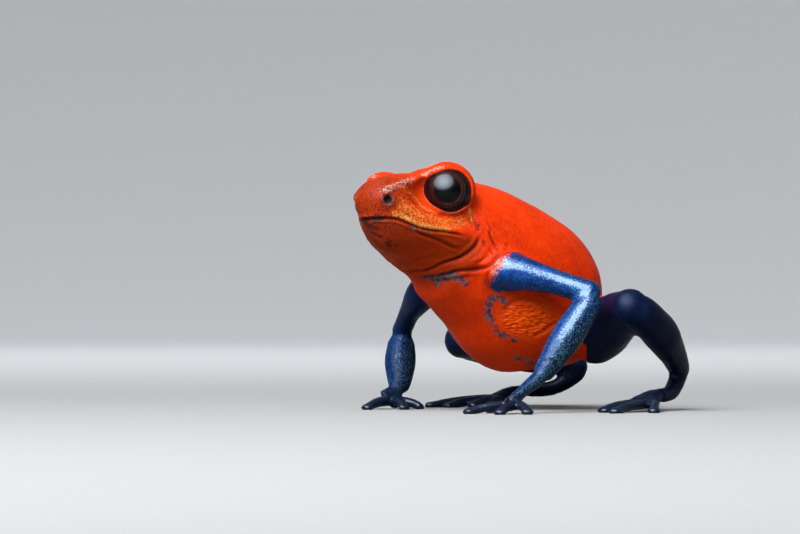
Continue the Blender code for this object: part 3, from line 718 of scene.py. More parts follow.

# Folds, ridges and wrinkles: frame, whether on both sides, depth (a ridge has less than none), width,
# swelling on each side, darkness of the shade painted along it, and points along the line.
folds = {
    "mouth": ("head", False, 0.15, 0.075, (0.045, 0.02), 0.85, ((-0.56, 0.6, 0.13), (-0.2, 0.53, 0.1),
        (0.22, 0.55, 0.07), (0.67, 0.72, 0.06), (1.08, 0.99, 0.08), (1.35, 1.27, 0.07), (1.58, 1.62, -0.02),
        (1.79, 1.99, -0.13), (2.0, 2.43, -0.22), (2.23, 2.85, -0.27), (2.47, 3.42, -0.22),
        (2.69, 4.01, -0.17), (2.92, 4.6, -0.17), (3.06, 4.96, -0.21), (3.17, 5.35, -0.28))),
    "mouthRight": ("head", False, 0.15, 0.075, (0.045, 0.02), 1.0, ((0.3, 0.56, 0.07), (-0.2, 0.53, 0.11),
        (-0.67, 0.72, 0.2), (-1.08, 0.99, 0.25), (-1.58, 1.62, 0.1), (-2.0, 2.43, -0.16),
        (-2.47, 3.42, -0.22), (-2.92, 4.6, -0.17), (-3.17, 5.35, -0.28))),
    "lowerLip": ("head", True, 0.1, 0.1, (0.03, 0.03), 0.75, ((1.97, 2.23, -0.47), (1.98, 2.65, -0.52),
        (2.11, 3.01, -0.56), (2.25, 3.46, -0.62), (2.35, 3.86, -0.68), (2.49, 4.39, -0.8),
        (2.61, 4.85, -0.88), (2.83, 5.21, -0.9))),
    "gular": ("head", False, 0.17, 0.1, (0.05, 0.05), 0.9, ((-1.31, 5.13, -1.82), (-0.89, 5.0, -1.81),
        (-0.14, 4.84, -1.85), (0.37, 4.94, -1.87), (1.02, 4.96, -1.75), (1.63, 5.0, -1.6),
        (2.44, 5.46, -1.26), (2.81, 5.74, -0.93), (3.08, 5.92, -0.62), (3.34, 5.97, -0.24),
        (3.41, 5.98, 0.1))),
    "collarRoll": ("head", False, -0.13, 0.3, (0.0, 0.0), 0.0, ((0.05, 5.33, -2.1), (1.2, 5.3, -1.95),
        (1.97, 5.41, -1.72), (2.56, 5.67, -1.61), (2.94, 5.99, -1.41), (3.26, 6.27, -1.09),
        (3.51, 6.46, -0.67), (3.64, 6.52, -0.26))),
    "pectoral": ("body", False, 0.15, 0.1, (0.04, 0.03), 0.8, ((-0.4, -4.66, 7.62), (0.3, -4.66, 7.62),
        (0.97, -4.6, 7.66), (1.69, -4.24, 7.78), (2.53, -3.87, 7.93), (3.03, -3.05, 8.02),
        (3.4, -2.84, 8.1), (3.72, -2.68, 8.27), (3.83, -2.45, 8.55), (3.84, -2.13, 8.8),
        (3.91, -1.75, 8.89), (3.97, -1.31, 8.89), (3.89, -0.73, 8.89))),
    "underRoll": ("body", False, 0.05, 0.12, (0.0, 0.02), 0.3, ((0.6, -4.5, 7.34), (1.4, -4.3, 7.36),
        (2.2, -3.8, 7.52), (2.8, -3.3, 7.62))),
    "wrinkleA": ("body", False, 0.11, 0.07, (0.03, 0.03), 0.95, ((3.31, -2.46, 10.22), (3.39, -2.35, 9.85),
        (3.46, -2.19, 9.51), (3.57, -2.01, 9.11), (3.76, -2.06, 8.89))),
    "wrinkleB": ("body", False, 0.06, 0.06, (0.02, 0.02), 0.6, ((3.1, -2.5, 10.8), (3.28, -2.33, 10.41),
        (3.37, -2.26, 10.07))),
    "wrinkleC": ("body", False, 0.08, 0.06, (0.03, 0.02), 0.8, ((3.62, -1.33, 9.6), (3.63, -1.48, 9.28),
        (3.69, -1.69, 9.0))),
    "wrinkleD": ("body", False, 0.08, 0.07, (0.03, 0.03), 0.6, ((3.27, -2.88, 9.68), (3.36, -2.6, 9.28),
        (3.46, -2.39, 9.0), (3.77, -2.27, 8.78))),
    "wrinkleE": ("body", False, 0.06, 0.07, (0.03, 0.03), 0.4, ((2.94, -3.47, 8.44), (3.18, -2.96, 8.5),
        (3.46, -2.6, 8.72))),
    "armPit": ("body", False, 0.07, 0.12, (0.02, 0.02), 0.3, ((3.85, -2.72, 8.2), (3.62, -2.82, 7.7),
        (3.3, -2.5, 7.2), (3.12, -2.05, 6.85), (3.2, -1.5, 6.5))),
    "canthus": ("head", True, -0.1, 0.26, (0.0, 0.0), 0.0, ((1.0, 0.18, 1.38), (1.17, 0.31, 1.62),
        (1.37, 0.73, 1.87), (1.46, 1.43, 2.21), (1.36, 2.19, 2.58), (1.5, 2.59, 2.77), (1.68, 2.88, 3.06))),
    "underEye": ("head", True, 0.05, 0.13, (0.02, 0.02), 0.12, ((1.95, 1.85, 1.35), (2.12, 2.15, 1.14),
        (2.25, 2.53, 0.93), (2.37, 3.0, 0.79), (2.49, 3.55, 0.74), (2.62, 4.24, 0.83), (2.93, 4.73, 1.0),
        (3.16, 5.03, 1.24))),
    "ear": ("head", True, 0.1, 0.08, (0.03, 0.04), 0.8, ((3.0, 5.42, 1.3), (3.13, 5.64, 0.95),
        (3.31, 5.8, 0.52), (3.4, 5.92, 0.22))),
    "earFront": ("head", True, 0.05, 0.07, (0.02, 0.01), 0.35, ((3.02, 5.3, 1.1), (3.1, 5.42, 0.85),
        (3.24, 5.58, 0.52), (3.36, 5.76, 0.24))),
    "chin": ("head", False, 0.04, 0.1, (0.01, 0.01), 0.35, ((-0.55, 0.69, -0.22), (-0.39, 0.85, -0.49),
        (0.03, 1.0, -0.79), (0.39, 1.37, -1.03))),
    "throatA": ("head", False, 0.05, 0.14, (0.03, 0.03), 0.12, ((-1.19, 4.3, -1.6), (-0.5, 4.1, -1.6),
        (0.3, 4.0, -1.6), (1.1, 4.05, -1.55), (1.7, 4.4, -1.45))),
    "flankArc": ("body", False, 0.05, 0.13, (0.03, 0.02), 0.25, ((2.99, -1.22, 5.62), (3.41, -0.89, 6.13),
        (3.7, -0.34, 6.3), (3.92, 0.33, 6.3), (4.05, 1.08, 6.13))),
    "wrist": ("body", False, 0.07, 0.09, (0.03, 0.03), 0.8, ((6.8, -1.75, 3.02), (7.26, -1.29, 2.94),
        (7.52, -0.63, 2.73))),
    "flankLow": ("body", False, 0.05, 0.12, (0.02, 0.02), 0.25, ((3.16, 0.7, 4.3), (3.6, 1.3, 4.62),
        (3.9, 1.9, 5.1))),
}


def foldLine(name, sign):
    return places(folds[name][0], along(folds[name][-1], 48) * (sign, 1, 1))


def nearLine(points, line, reach):
    # which points lie within reach, their distance to the line, the share of it passed,
    # the offset from it and the line's direction there
    near = np.nonzero(boxed(points, line, reach))[0]
    best = np.full(len(near), skin["farAway"])
    share = np.zeros(len(near))
    offset, tangent = np.zeros((2, len(near), 3))
    for k, (start, end) in enumerate(zip(line, line[1:])):
        step = end - start
        t = np.clip((points[near] - start) @ step / (step @ step), 0.0, 1.0)
        gap = points[near] - start - t[:, None] * step
        distance = np.linalg.norm(gap, axis=1)
        closer = distance < best
        best[closer] = distance[closer]
        share[closer] = (k + t[closer]) / (len(line) - 1)
        offset[closer] = gap[closer]
        tangent[closer] = step / np.linalg.norm(step)
    close = best < reach
    return near[close], best[close], share[close], offset[close], tangent[close]


def onto(tree, line):
    # each point of the line moves to the nearest place on the skin
    return np.array([tree.find_nearest(Vector(place))[0] for place in line])


def pressFold(net, tree, name, sign, crease):
    # a groove: depth times a bell curve of the distance, fading at its ends, with a swelling on each side and
    # painted shade along it
    depth, width, swell, dark = folds[name][2:6]
    line = onto(tree, foldLine(name, sign))
    near, distance, share, offset, tangent = nearLine(net.points, line, width * sculpt["foldReach"])
    normals = net.normals()[near]
    deepened, fading = sculpt["foldFade"]
    fade = smooth(0.0, deepened, share) * smooth(1.0, fading, share)
    side = np.einsum("ij,ij->i", offset, np.cross(tangent, normals)) * sign
    beside, spread = sculpt["foldSwell"]
    swell = np.where(side > 0, *swell) * bell(distance, beside * width, spread * width)
    rise = swell - depth * bell(distance, 0.0, width)
    net.points[near] += normals * (rise * fade)[:, None]
    shade = dark * fade * bell(distance, 0.0, sculpt["foldShade"] * width)
    crease[near] = np.maximum(crease[near], shade)


def pressPit(net, centre, radius, depth, rim, pit, ring):
    # a round pit: depth falls off as a bell curve past its radius, inside a low ring; its middle is marked
    # for painted shade
    distance = np.linalg.norm(net.points - centre, axis=1)
    near = distance < sculpt["pitReach"] * radius
    away = distance[near] / radius
    rise = rim * bell(away, *sculpt["pitRim"]) - depth * np.exp(-away**4)
    net.points[near] += net.normals()[near] * rise[:, None]
    pit[near] = np.maximum(pit[near], smooth(*sculpt["pitDark"], away))
    ring[near] = np.maximum(ring[near], bell(away, *sculpt["pitRing"]))


def scattered(cell):
    # three numbers from -1 to 1 for each cell, always the same ones: sines of weighted sums, times a
    # large number, less their whole part
    weights = np.array([[127.1, 269.5, 113.5], [311.7, 183.3, 271.9], [74.7, 246.1, 124.6]])
    large = 43758.5453
    return 2 * (np.sin(cell @ weights) * large % 1.0) - 1


def grainDomes(points, size):
    # 1 at the middle of each grain and 0 between them: one jittered centre in each cell of a cubic grid
    at = points / size
    home = np.floor(at)
    best = np.full(len(points), skin["farAway"])
    for step in np.ndindex(3, 3, 3):
        centre = home + step - 0.5
        centre = centre + sculpt["grainJitter"] * scattered(centre)
        best = np.minimum(best, np.linalg.norm(at - centre, axis=1))
    return np.clip(1 - (best / sculpt["grainRadius"]) ** 2, 0.0, 1.0)


def waves(points, size):
    # slow swelling between -1 and 1: hashed values on a cubic grid, joined by an even S
    at = points / size
    home = np.floor(at)
    part = at - home
    part = part * part * (3 - 2 * part)
    total = np.zeros(len(points))
    for step in np.ndindex(2, 2, 2):
        weight = np.prod(np.where(np.array(step) == 1, part, 1 - part), axis=1)
        total += weight * scattered(home + step)[:, 0]
    return total


def within(points, middle, halves):
    # 1 inside an ellipsoid, fading to 0 a little outside it
    return smooth(*sculpt["patchFade"], np.linalg.norm((points - middle) / halves, axis=1))


def addGrain(net, limbs, digits, face):
    # raises the grains along the normals, and returns where the valleys between the flank's grains lie, for
    # their painted shade
    normals = net.normals()
    flank = within(net.points, *sculpt["flankPatch"])
    plain = (1 - limbs) * (1 - face)
    amounts = {"body": plain * (1 - flank), "flank": flank * plain,
               "limb": limbs * (1 - digits), "head": face}
    stretched = {"flank": np.array(sculpt["flankStretch"])}
    rise = np.zeros(len(net.points))
    for name, (size, height) in sculpt["grain"].items():
        domes = grainDomes(net.points * stretched.get(name, 1.0), size)
        rise += amounts[name] * height * (domes - sculpt["grainLevel"])
    height, size = sculpt["swelling"]
    rise += height * waves(net.points, size) * (1 - digits) * (1 - sculpt["headSwelling"] * face)
    net.points += normals * rise[:, None]
    return amounts["flank"] * (1 - grainDomes(net.points * stretched["flank"], sculpt["grain"]["flank"][0]))


# Where each colour goes, as numbers on the skin's points.

markings = {
    # lines: frame, whether on both sides, half width, strength and points
    "gold": (
        ("head", True, 0.24, 0.45, ((1.55, 1.8, 1.75), (1.65, 2.39, 1.49), (1.91, 2.56, 1.15),
            (2.16, 2.89, 0.91), (2.32, 3.4, 0.72))),
        ("head", True, 0.2, 1.0, ((1.45, 0.97, 0.3), (1.76, 1.39, 0.19), (2.03, 1.87, 0.04),
            (2.26, 2.37, -0.1), (2.49, 2.88, -0.12), (2.68, 3.43, -0.06), (2.87, 4.05, 0.0))),
        ("head", True, 0.5, 0.52, ((1.9, 1.26, 0.72), (2.18, 1.81, 0.53), (2.41, 2.42, 0.3),
            (2.6, 3.22, 0.3), (2.72, 4.17, 0.45), (2.87, 5.0, 0.63))),
        ("head", True, 0.13, 1.2, ((2.9, 5.2, 1.45), (3.02, 5.46, 1.15), (3.12, 5.6, 0.9)))),
    # painted highlight: a pale pinkish sheen along the ridge from the nostril to the eye, on the upper lid
    # and on top of the upper arm's root
    "paintedSheen": (
        ("head", True, 0.25, 0.75, ((1.12, 0.27, 1.56), (1.2, 0.4, 1.68), (1.37, 0.73, 1.87),
            (1.46, 1.43, 2.21), (1.36, 2.19, 2.58))),
        ("head", True, 0.16, 0.8, ((1.6, 2.8, 2.95), (1.87, 2.99, 3.14), (2.22, 3.09, 3.3),
            (2.6, 3.27, 3.45))),
        ("body", False, 0.32, 0.95, ((4.03, -2.46, 7.99), (4.16, -2.28, 8.33), (4.32, -1.98, 8.5),
            (4.48, -1.61, 8.61)))),
    "smudge": (
        ("body", False, 0.3, 0.9, ((0.41, -4.57, 7.71), (1.03, -4.46, 7.56), (1.62, -4.26, 7.6),
            (2.02, -4.06, 7.7))),
        ("body", False, 0.2, 0.85, ((2.02, -4.06, 7.7), (2.31, -3.71, 7.48), (2.44, -3.46, 7.26))),
        ("body", False, 0.22, 0.85, ((0.92, -4.52, 7.65), (0.89, -4.29, 7.26))),
        ("body", True, 0.2, 0.8, ((3.01, -2.0, 6.47), (3.17, -1.56, 6.36), (3.3, -1.23, 6.19))),
        ("body", True, 0.24, 0.85, ((2.96, -1.96, 6.36), (2.74, -2.01, 6.02), (2.52, -1.92, 5.62),
            (2.41, -1.63, 5.17), (2.29, -1.27, 4.6))),
        ("body", True, 0.19, 0.9, ((2.29, -1.27, 4.6), (2.39, -0.99, 4.37), (2.6, -0.59, 4.2),
            (2.71, -0.24, 4.03))),
        ("body", True, 0.3, 0.6, ((2.05, 0.45, 3.0), (2.17, 1.13, 2.83), (1.96, 1.78, 2.65))),
        ("head", True, 0.12, 0.9, ((1.8, 2.0, -0.22), (1.9, 2.2, -0.26))),
        ("head", True, 0.1, 0.8, ((2.05, 2.5, -0.28), (2.32, 3.07, -0.26)))),
    # dark marks: the lines along the front of the mouth and the patch below it are painted shade of the
    # mouth's slit; the spots under the chin are the skin's own
    "inkAndShade": (
        ("head", True, 0.13, 1.1, ((-0.9, 0.78, 0.15), (-0.56, 0.66, 0.14), (-0.27, 0.6, 0.1),
            (0.22, 0.63, 0.05), (0.67, 0.75, 0.05))),
        ("head", True, 0.24, 1.7, ((-0.55, 0.64, 0.08), (-0.3, 0.6, 0.06))),
        ("head", False, 0.18, 1.1, ((-0.45, 0.68, -0.1), (-0.15, 0.75, -0.25), (0.25, 0.85, -0.36))),
        ("head", False, 0.12, 1.0, ((0.32, 1.09, -0.81), (0.36, 1.12, -0.83))),
        ("head", False, 0.16, 1.0, ((0.52, 1.57, -1.12), (0.45, 1.75, -1.25))),
        ("head", False, 0.1, 0.8, ((0.73, 2.01, -1.21), (0.7, 2.08, -1.24))),
        ("head", False, 0.09, 0.7, ((0.44, 2.53, -1.4), (0.46, 2.56, -1.41))),
        ("head", True, 0.1, 0.8, ((3.3, 5.86, 0.66), (3.36, 5.92, 0.42)))),
    # the blue sets in past a plane across the upper arm, given by a point of it and its normal
    "armStart": {"left": ((2.85, -2.30, 6.85), (0.474, 0.676, -0.564)),
                 "right": ((-2.56, -2.32, 6.97), (-0.834, 0.191, -0.519))},
    "armFade": (-0.45, 0.35),            # over this way past the plane
    "thighStart": (0.26, 0.31),          # and at this share of the thigh
    "rootFacing": (0.62, 0.85),          # near its root, how squarely a limb's skin faces off its middle line
    "rootEnd": (0.45, 0.60),             # the share of the limb where that stops mattering
    "limbEdge": (1.22, 1.08),            # distance from a limb's middle line, in half widths, where it ends
    # how far down the limb, from 0 to 1, each of its lengths starts
    "order": {"upper_arm": 0.0, "forearm": 0.4, "hand": 0.8, "thigh": 0.0, "shank": 0.4, "tarsus": 0.7,
              "foot": 0.9},
    "hindLengths": ("thigh", "shank", "tarsus", "foot"),
    # how far the right arm takes on the back legs' painted shade
    "dimmer": {("upper_arm", "right"): 0.85, ("forearm", "right"): 0.55, ("hand", "right"): 0.70},
    "offTrunk": (1.12, 1.20),            # everything this far from the spine, in half widths, is limb
    "behindHead": (6.6, 7.0),            # if it lies this far behind the snout's tip
    "underHead": (-2.8, -3.2),           # or this far below it
    "reaches": (3.0, 15.0),              # how far from its middle line a limb and the trunk are looked for
    "lengthShare": 0.4,                  # how much further down the limb a length ends than it starts
    "blueDigits": (1.00, 0.80),          # distance from the middle of a finger or toe
    "darkDigits": (0.75, 0.45),
    # in the head's frame: where each fades out and where it is full
    "face": (7.0, 5.6),
    "snout": (3.6, 0.6),
    "underMouth": (0.10, -0.35),
    "throat": (6.6, 5.6),
    "freckles": (0.06, 0.20),            # dark freckles all over the face, and more towards the snout
    # the nostrils' pits, darkened this strongly: painted shade
    "pitShade": 2.0,
    "ringSmudge": 0.9,
    "flank": (1.5, 0.5),                 # in halves of the pebbled patch, where it is painted lighter as painted light
    # by the way the skin faces: down (painted shade), up, to the rear left (painted shade, away from the
    # light), and to the light (painted highlight)
    "below": (-0.05, -0.85),
    "crest": (0.55, 0.90),
    "outer": ((0.75, 0.65, 0.0), (-0.2, 0.7)),
    # skin facing this way, about halfway between the lamp and the camera, gets a painted highlight
    "above": ((0.65, -0.67, 0.34), (0.93, 0.995)),
    "highlightEnd": (0.72, 0.58),            # the painted highlight ends this far down the arm
}


def lineMark(points, tree, rows):
    # a bell curve of the distance to each line, the strongest where they overlap
    mark = np.zeros(len(points))
    for frameName, mirrored, halfWidth, strength, line in rows:
        for sign in (1, -1) if mirrored else (1,):
            path = onto(tree, places(frameName, along(line, 20) * (sign, 1, 1)))
            near, distance = nearLine(points, path, 3 * halfWidth)[:2]
            mark[near] = np.maximum(mark[near], strength * bell(distance, 0.0, halfWidth))
    return mark


def limbMark(points, normals):
    # how surely each point is on a blue limb, how much painted shade it takes (all of it on the back legs,
    # some on the right arm), and how far down it is from 0 to 1
    blue, hind, down = np.zeros((3, len(points)))
    limbReach, trunkReach = markings["reaches"]
    for side in ("left", "right"):
        for kind in limb["lengths"]:
            line = along(limbRows(kind, side)[0], 40)
            near, distance, share, offset = nearLine(points, line[:, :3], limbReach)[:4]
            widest = line[:, 3:].max(axis=1)
            ratio = distance / np.interp(share, np.linspace(0, 1, len(line)), widest)
            sure = smooth(*markings["limbEdge"], ratio)
            dim = 1.0 if kind in markings["hindLengths"] else markings["dimmer"].get((kind, side), 0.0)
            hind[near] = np.maximum(hind[near], sure * dim)
            if kind == "upper_arm":
                place, normal = markings["armStart"][side]
                sure = sure * smooth(*markings["armFade"], (points[near] - place) @ np.array(normal))
            if kind == "thigh":
                sure = sure * smooth(*markings["thighStart"], share)
            if kind in ("upper_arm", "thigh"):
                facing = np.einsum("ij,ij->i", offset, normals[near]) / np.maximum(distance, 1e-6)
                sure = sure * np.maximum(smooth(*markings["rootFacing"], facing),
                                         smooth(*markings["rootEnd"], share))
            further = markings["order"][kind] + markings["lengthShare"] * share
            down[near] = np.where(sure > blue[near], further, down[near])
            blue[near] = np.maximum(blue[near], sure)
    spine = along([(0.0, *row) for row in trunk["stations"]], 40)
    near, distance, share = nearLine(points, spine[:, :3], trunkReach)[:3]
    ratio = distance / np.interp(share, np.linspace(0, 1, len(spine)), spine[:, 3:].max(axis=1))
    inHead = toHead(points[near])
    offHead = np.maximum(smooth(*markings["behindHead"], inHead[:, 1]),
                         smooth(*markings["underHead"], inHead[:, 2]))
    blue[near] = np.maximum(blue[near], smooth(*markings["offTrunk"], ratio) * offHead)
    return blue, hind, np.clip(down, 0.0, 1.0)


def store(piece, name, values):
    layer = piece.data.attributes.new(name, "FLOAT", "POINT")
    layer.data.foreach_set("value", np.asarray(values, np.float32))


def makeSkin():
    # the net with its lids, folds, nostrils and grain, and the marks that its colours follow
    net = bodyNet()
    for sign in (1, -1):
        shapeLids(net, sign)
    print("lids shaped")
    tree = BVHTree.FromPolygons(net.points.tolist(), net.quads.tolist() + net.triangles.tolist())
    crease = np.zeros(len(net.points))
    for name, fold in folds.items():
        for sign in (1, -1) if fold[1] else (1,):
            pressFold(net, tree, name, sign, crease)
    spot, radius, depth, rim = sculpt["nostril"]
    pit, ring = np.zeros((2, len(net.points)))
    for sign in (1, -1):
        centre = onto(tree, [fromHead(np.array(spot) * (sign, 1, 1))])[0]
        pressPit(net, centre, radius, depth, rim, pit, ring)
    print("folds pressed")
    blue, hind, down = limbMark(net.points, net.normals())
    toDigits = nearestGap(net.points, digitLines(), 1.0)
    digits = smooth(*markings["darkDigits"], toDigits)
    blue = np.maximum(blue, smooth(*markings["blueDigits"], toDigits))
    across, back, level = toHead(net.points).T
    face = smooth(*markings["face"], back)
    snout = smooth(*markings["snout"], back)
    throat = smooth(*markings["underMouth"], level) * smooth(*markings["throat"], back)
    lid, proud, under = aroundLids(net)
    marks = {name: lineMark(net.points, tree, markings[name]) for name in ("gold", "paintedSheen", "smudge", "inkAndShade")}
    sparse, dense = markings["freckles"]
    inked = np.maximum(marks["inkAndShade"], markings["pitShade"] * pit)
    marks["inkAndShade"] = np.maximum(inked, face * (sparse + dense * snout))
    marks["smudge"] = np.maximum(marks["smudge"], ring * markings["ringSmudge"])
    valley = addGrain(net, blue, digits, face)
    net.points[:, 2] = np.maximum(net.points[:, 2], 0.0)  # nothing reaches below the floor
    normals = net.normals()
    piece = placed("skin", meshFrom("skin", net.points + shift, net.quads, net.triangles, millimetre))
    # the pebbled flank patch, painted lighter: painted light on the patch
    middle, halves = sculpt["flankPatch"]
    flank = smooth(*markings["flank"], np.linalg.norm((net.points - middle) / halves, axis=1)) * (1 - blue)
    facing = {name: smooth(*markings[name], normals[:, 2]) for name in ("below", "crest")}
    for name in ("outer", "above"):
        direction, fade = markings[name]
        facing[name] = smooth(*fade, normals @ unit(np.array(direction)))
    facing["above"] = facing["above"] * (1 - hind) * smooth(*markings["highlightEnd"], down)
    marks.update(facing, crease=np.minimum(crease, 1.0), lid=lid, proud=proud, under=under, blue=blue,
                 down=down, digits=digits, hind=hind, throat=throat, snout=snout, face=face, valley=valley,
                 flank=flank)
    for name, values in marks.items():
        store(piece, name, values)
    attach(piece, "root")
    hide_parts(*[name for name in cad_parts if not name.startswith("eye")])
    print("skin:", 2 * len(net.quads) + len(net.triangles), "triangles")
    return piece


def aroundLids(net):
    # how far each point lies outside the lids' edge and off the ball, up to 1, and how surely below an eye
    lid, proud = np.ones((2, len(net.points)))
    under = np.zeros(len(net.points))
    offBall, fromBelow, turned = lids["under"]
    for sign in (1, -1):
        height, reach, around = aroundEye(net.points, sign)
        away = np.hypot(height, reach) - eye["radius"]
        lid = np.where(away < lids["seenAway"], np.minimum(lid, pastEdge(height, reach, around)), lid)
        proud = np.minimum(proud, away)
        below = smooth(*fromBelow, -np.cos(np.radians(around + turned)))
        under = np.maximum(under, smooth(*offBall, away) * below)
    return lid, proud, under


skinPiece = makeSkin()


def makeEye(side, sign):
    # a closed turned shape: the ball, with the cornea standing a little proud round its axis
    centre, outward, up, forward = eyeFrame(sign)
    count, sides = eye["nets"]["ball"]
    away = np.linspace(eye["poleGap"], pi - eye["poleGap"], count)
    proud, width = eye["cornea"]
    swell = eye["radius"] * (1 + proud * bell(away, 0.0, width))
    points, quads, triangles = closeRings(ballRings(np.zeros(3), 1.0, count, sides) * swell[:, None, None], 0)
    gaze = unit(np.array(eye["gaze"]) * (sign, 1, 1)) @ headTurn.T
    top = unit(up - (up @ gaze) * gaze)
    across = np.cross(top, gaze)
    turned = centre + points[:, :1] * across + points[:, 1:2] * top + points[:, 2:] * gaze
    name = "eye_ball_" + side
    piece = placed(name, meshFrom(name, turned + shift, quads, triangles, millimetre))
    layer = piece.data.attributes.new("gaze", "FLOAT_VECTOR", "POINT")
    layer.data.foreach_set("vector", (points * (sign, 1, 1)).astype(np.float32).ravel())
    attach(piece, "root")
    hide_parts("eye_" + side)
    return piece


eyePieces = [makeEye("left", 1), makeEye("right", -1)]
print("eyes made")


class Wire:
    # an output socket; sums and products of it add Math nodes

    def __init__(self, look, socket):
        self.look = look
        self.socket = socket

    def maths(self, operation, *values):
        return self.look.node("ShaderNodeMath", {"operation": operation}, dict(enumerate(values)))

    def __add__(self, other):
        return self.maths("ADD", self, other)

    def __sub__(self, other):
        return self.maths("SUBTRACT", self, other)

    def __rsub__(self, other):
        return self.maths("SUBTRACT", other, self)

    def __mul__(self, other):
        return self.maths("MULTIPLY", self, other)

    __radd__ = __add__
    __rmul__ = __mul__


class Look:
    # a material and the nodes that make it

    def __init__(self, name, **fixed):
        self.material = bpy.data.materials.new(name)
        self.material.use_nodes = True
        self.tree = self.material.node_tree
        self.shader = self.tree.nodes["Principled BSDF"]
        for socket, value in fixed.items():
            self.shader.inputs[socket.replace("_", " ")].default_value = value

    def node(self, kind, settings, values, output=0):
        node = self.tree.nodes.new(kind)
        for name, value in settings.items():
            setattr(node, name, value)
        for name, value in values.items():
            if isinstance(value, Wire):
                self.tree.links.new(value.socket, node.inputs[name])
            else:
                node.inputs[name].default_value = value
        return Wire(self, node.outputs[output])

    def feed(self, socket, wire):
        self.tree.links.new(wire.socket, self.shader.inputs[socket])

    def mark(self, name):
        return self.node("ShaderNodeAttribute", {"attribute_name": name}, {}, "Fac")

    def step(self, value, low, high):
        # 0 at low, 1 at high, and an even S between them
        return self.node("ShaderNodeMapRange", {"interpolation_type": "SMOOTHSTEP"},
                         {"Value": value, "From Min": low, "From Max": high})

    def mix(self, share, first, second):
        paints = [(*paint, 1.0) if isinstance(paint, tuple) else paint for paint in (first, second)]
        return self.node("ShaderNodeMix", {"data_type": "RGBA"}, {0: share, 6: paints[0], 7: paints[1]}, 2)

    def noise(self, place, scale, detail):
        return self.node("ShaderNodeTexNoise", {}, {"Vector": place, "Scale": scale, "Detail": detail})

    def stretched(self, place, scale):
        return self.node("ShaderNodeMapping", {}, {"Vector": place, "Scale": scale})

    def cells(self, place, scale):
        # distance to the middle of each cell, and three numbers that each cell keeps
        kind, values = "ShaderNodeTexVoronoi", {"Vector": place, "Scale": scale}
        colour = self.node(kind, {}, values, "Color")
        distance = Wire(self, colour.socket.node.outputs["Distance"])
        parts = self.node("ShaderNodeSeparateColor", {}, {"Color": colour})
        return distance, parts, *[Wire(self, parts.socket.node.outputs[k]) for k in (1, 2)]

    def millimetres(self):
        where = self.node("ShaderNodeTexCoord", {}, {}, "Object")
        return self.node("ShaderNodeVectorMath", {"operation": "SCALE"}, {0: where, "Scale": 1 / millimetre})


paint = {
    "red": (0.60, 0.028, 0.0010),
    "deepRed": (0.45, 0.018, 0.001),
    "orange": (0.66, 0.052, 0.0012),
    # the throat's own orange-brown, darkened further as painted shade, most under the chin
    "throat": (0.24, 0.020, 0.001),
    "chin": (0.12, 0.010, 0.001),
    # painted shade on red skin that faces down
    "underShade": (0.30, 0.020, 0.001),
    "snout": (0.21, 0.019, 0.0015),
    # painted light: the pebbled flank patch painted brighter
    "litPebble": (0.92, 0.090, 0.003),
    "amber": (0.60, 0.110, 0.008),
    "gold": (0.58, 0.25, 0.028),
    "cream": (0.62, 0.38, 0.14),
    # painted highlight: pale pinkish sheen
    "sheenPink": (0.36, 0.23, 0.19),
    # dark specks, and painted shade in the nostrils, the mouth's slit and the gap under the lids
    "inkAndShade": (0.012, 0.008, 0.006),
    "greyTeal": (0.024, 0.080, 0.095),
    "paleGrey": (0.14, 0.20, 0.21),
    "blue": (0.0015, 0.022, 0.125),
    "brightBlue": (0.002, 0.052, 0.230),
    # painted highlight on the limbs
    "highlightBlue": (0.15, 0.27, 0.42),
    "blueBlack": (0.002, 0.005, 0.016),
    # painted shade on the back legs and the right arm
    "hindBlack": (0.002, 0.004, 0.017),
    "teal": (0.035, 0.105, 0.150),
    "digit": (0.004, 0.009, 0.021),
    # painted shade in creases and between the flank's grains
    "creaseRed": (0.035, 0.004, 0.002),
    # painted highlight on the lids' wet edge below the eyes
    "lidEdge": (0.50, 0.24, 0.19),
}
shares = {
    # how much of each colour goes over the ones before it
    # the pebbled patch's colour is painted light, the underside's painted shade, the throat's partly painted
    # shade
    "orange": 0.55, "deepRed": 0.55, "litPebble": 0.80, "underShade": 0.55, "snout": 0.85, "throat": 0.90,
    # the chin's colour is partly painted shade, the pinkish sheen a painted highlight, and the dark marks
    # include painted shade
    "chin": 0.70, "amber": 0.45, "gold": 0.52, "sheenPink": 0.70, "paleGrey": 0.60, "smudge": 0.82, "inkAndShade": 0.80,
    "pit": 0.19,
    # the rear left sides' black and the back legs' black are painted shade, the pale blue a painted highlight
    "outer": 0.80, "crest": 0.60, "black": 0.90, "teal": 0.70, "highlightBlue": 0.70, "hindBlack": 0.94,
    "below": (0.50, 0.40),               # painted shade on the limbs' undersides: at the shoulder, and so much more at the hand
    # painted shade in creases and between the flank's grains, and the lids' edge a painted highlight
    "crease": 0.85, "valley": 0.38, "lidEdge": 0.40,
}
finish = {
    "grain": 10.5,                       # cells to the millimetre
    "speck": 15.0,
    "roughness": 0.48,
    "wetLimbs": 0.14,                    # less rough
    "dryThroat": 0.15,                   # rougher
    "roughGrain": 0.25,
    "coat": (0.07, 0.26),                # on the limbs, and more on some specks
    "hindDull": 0.90,                    # share of it that the back legs go without, and the right arm in part, where limb shade is painted
    "handDull": 0.55,                    # and the hands
    "sheenCoat": 0.04,
    "bump": {"Strength": 0.55, "Distance": 0.000022},
    "bumpOver": (0.8, 0.9, 0.5),         # everywhere, more on the limbs, more on the face
}


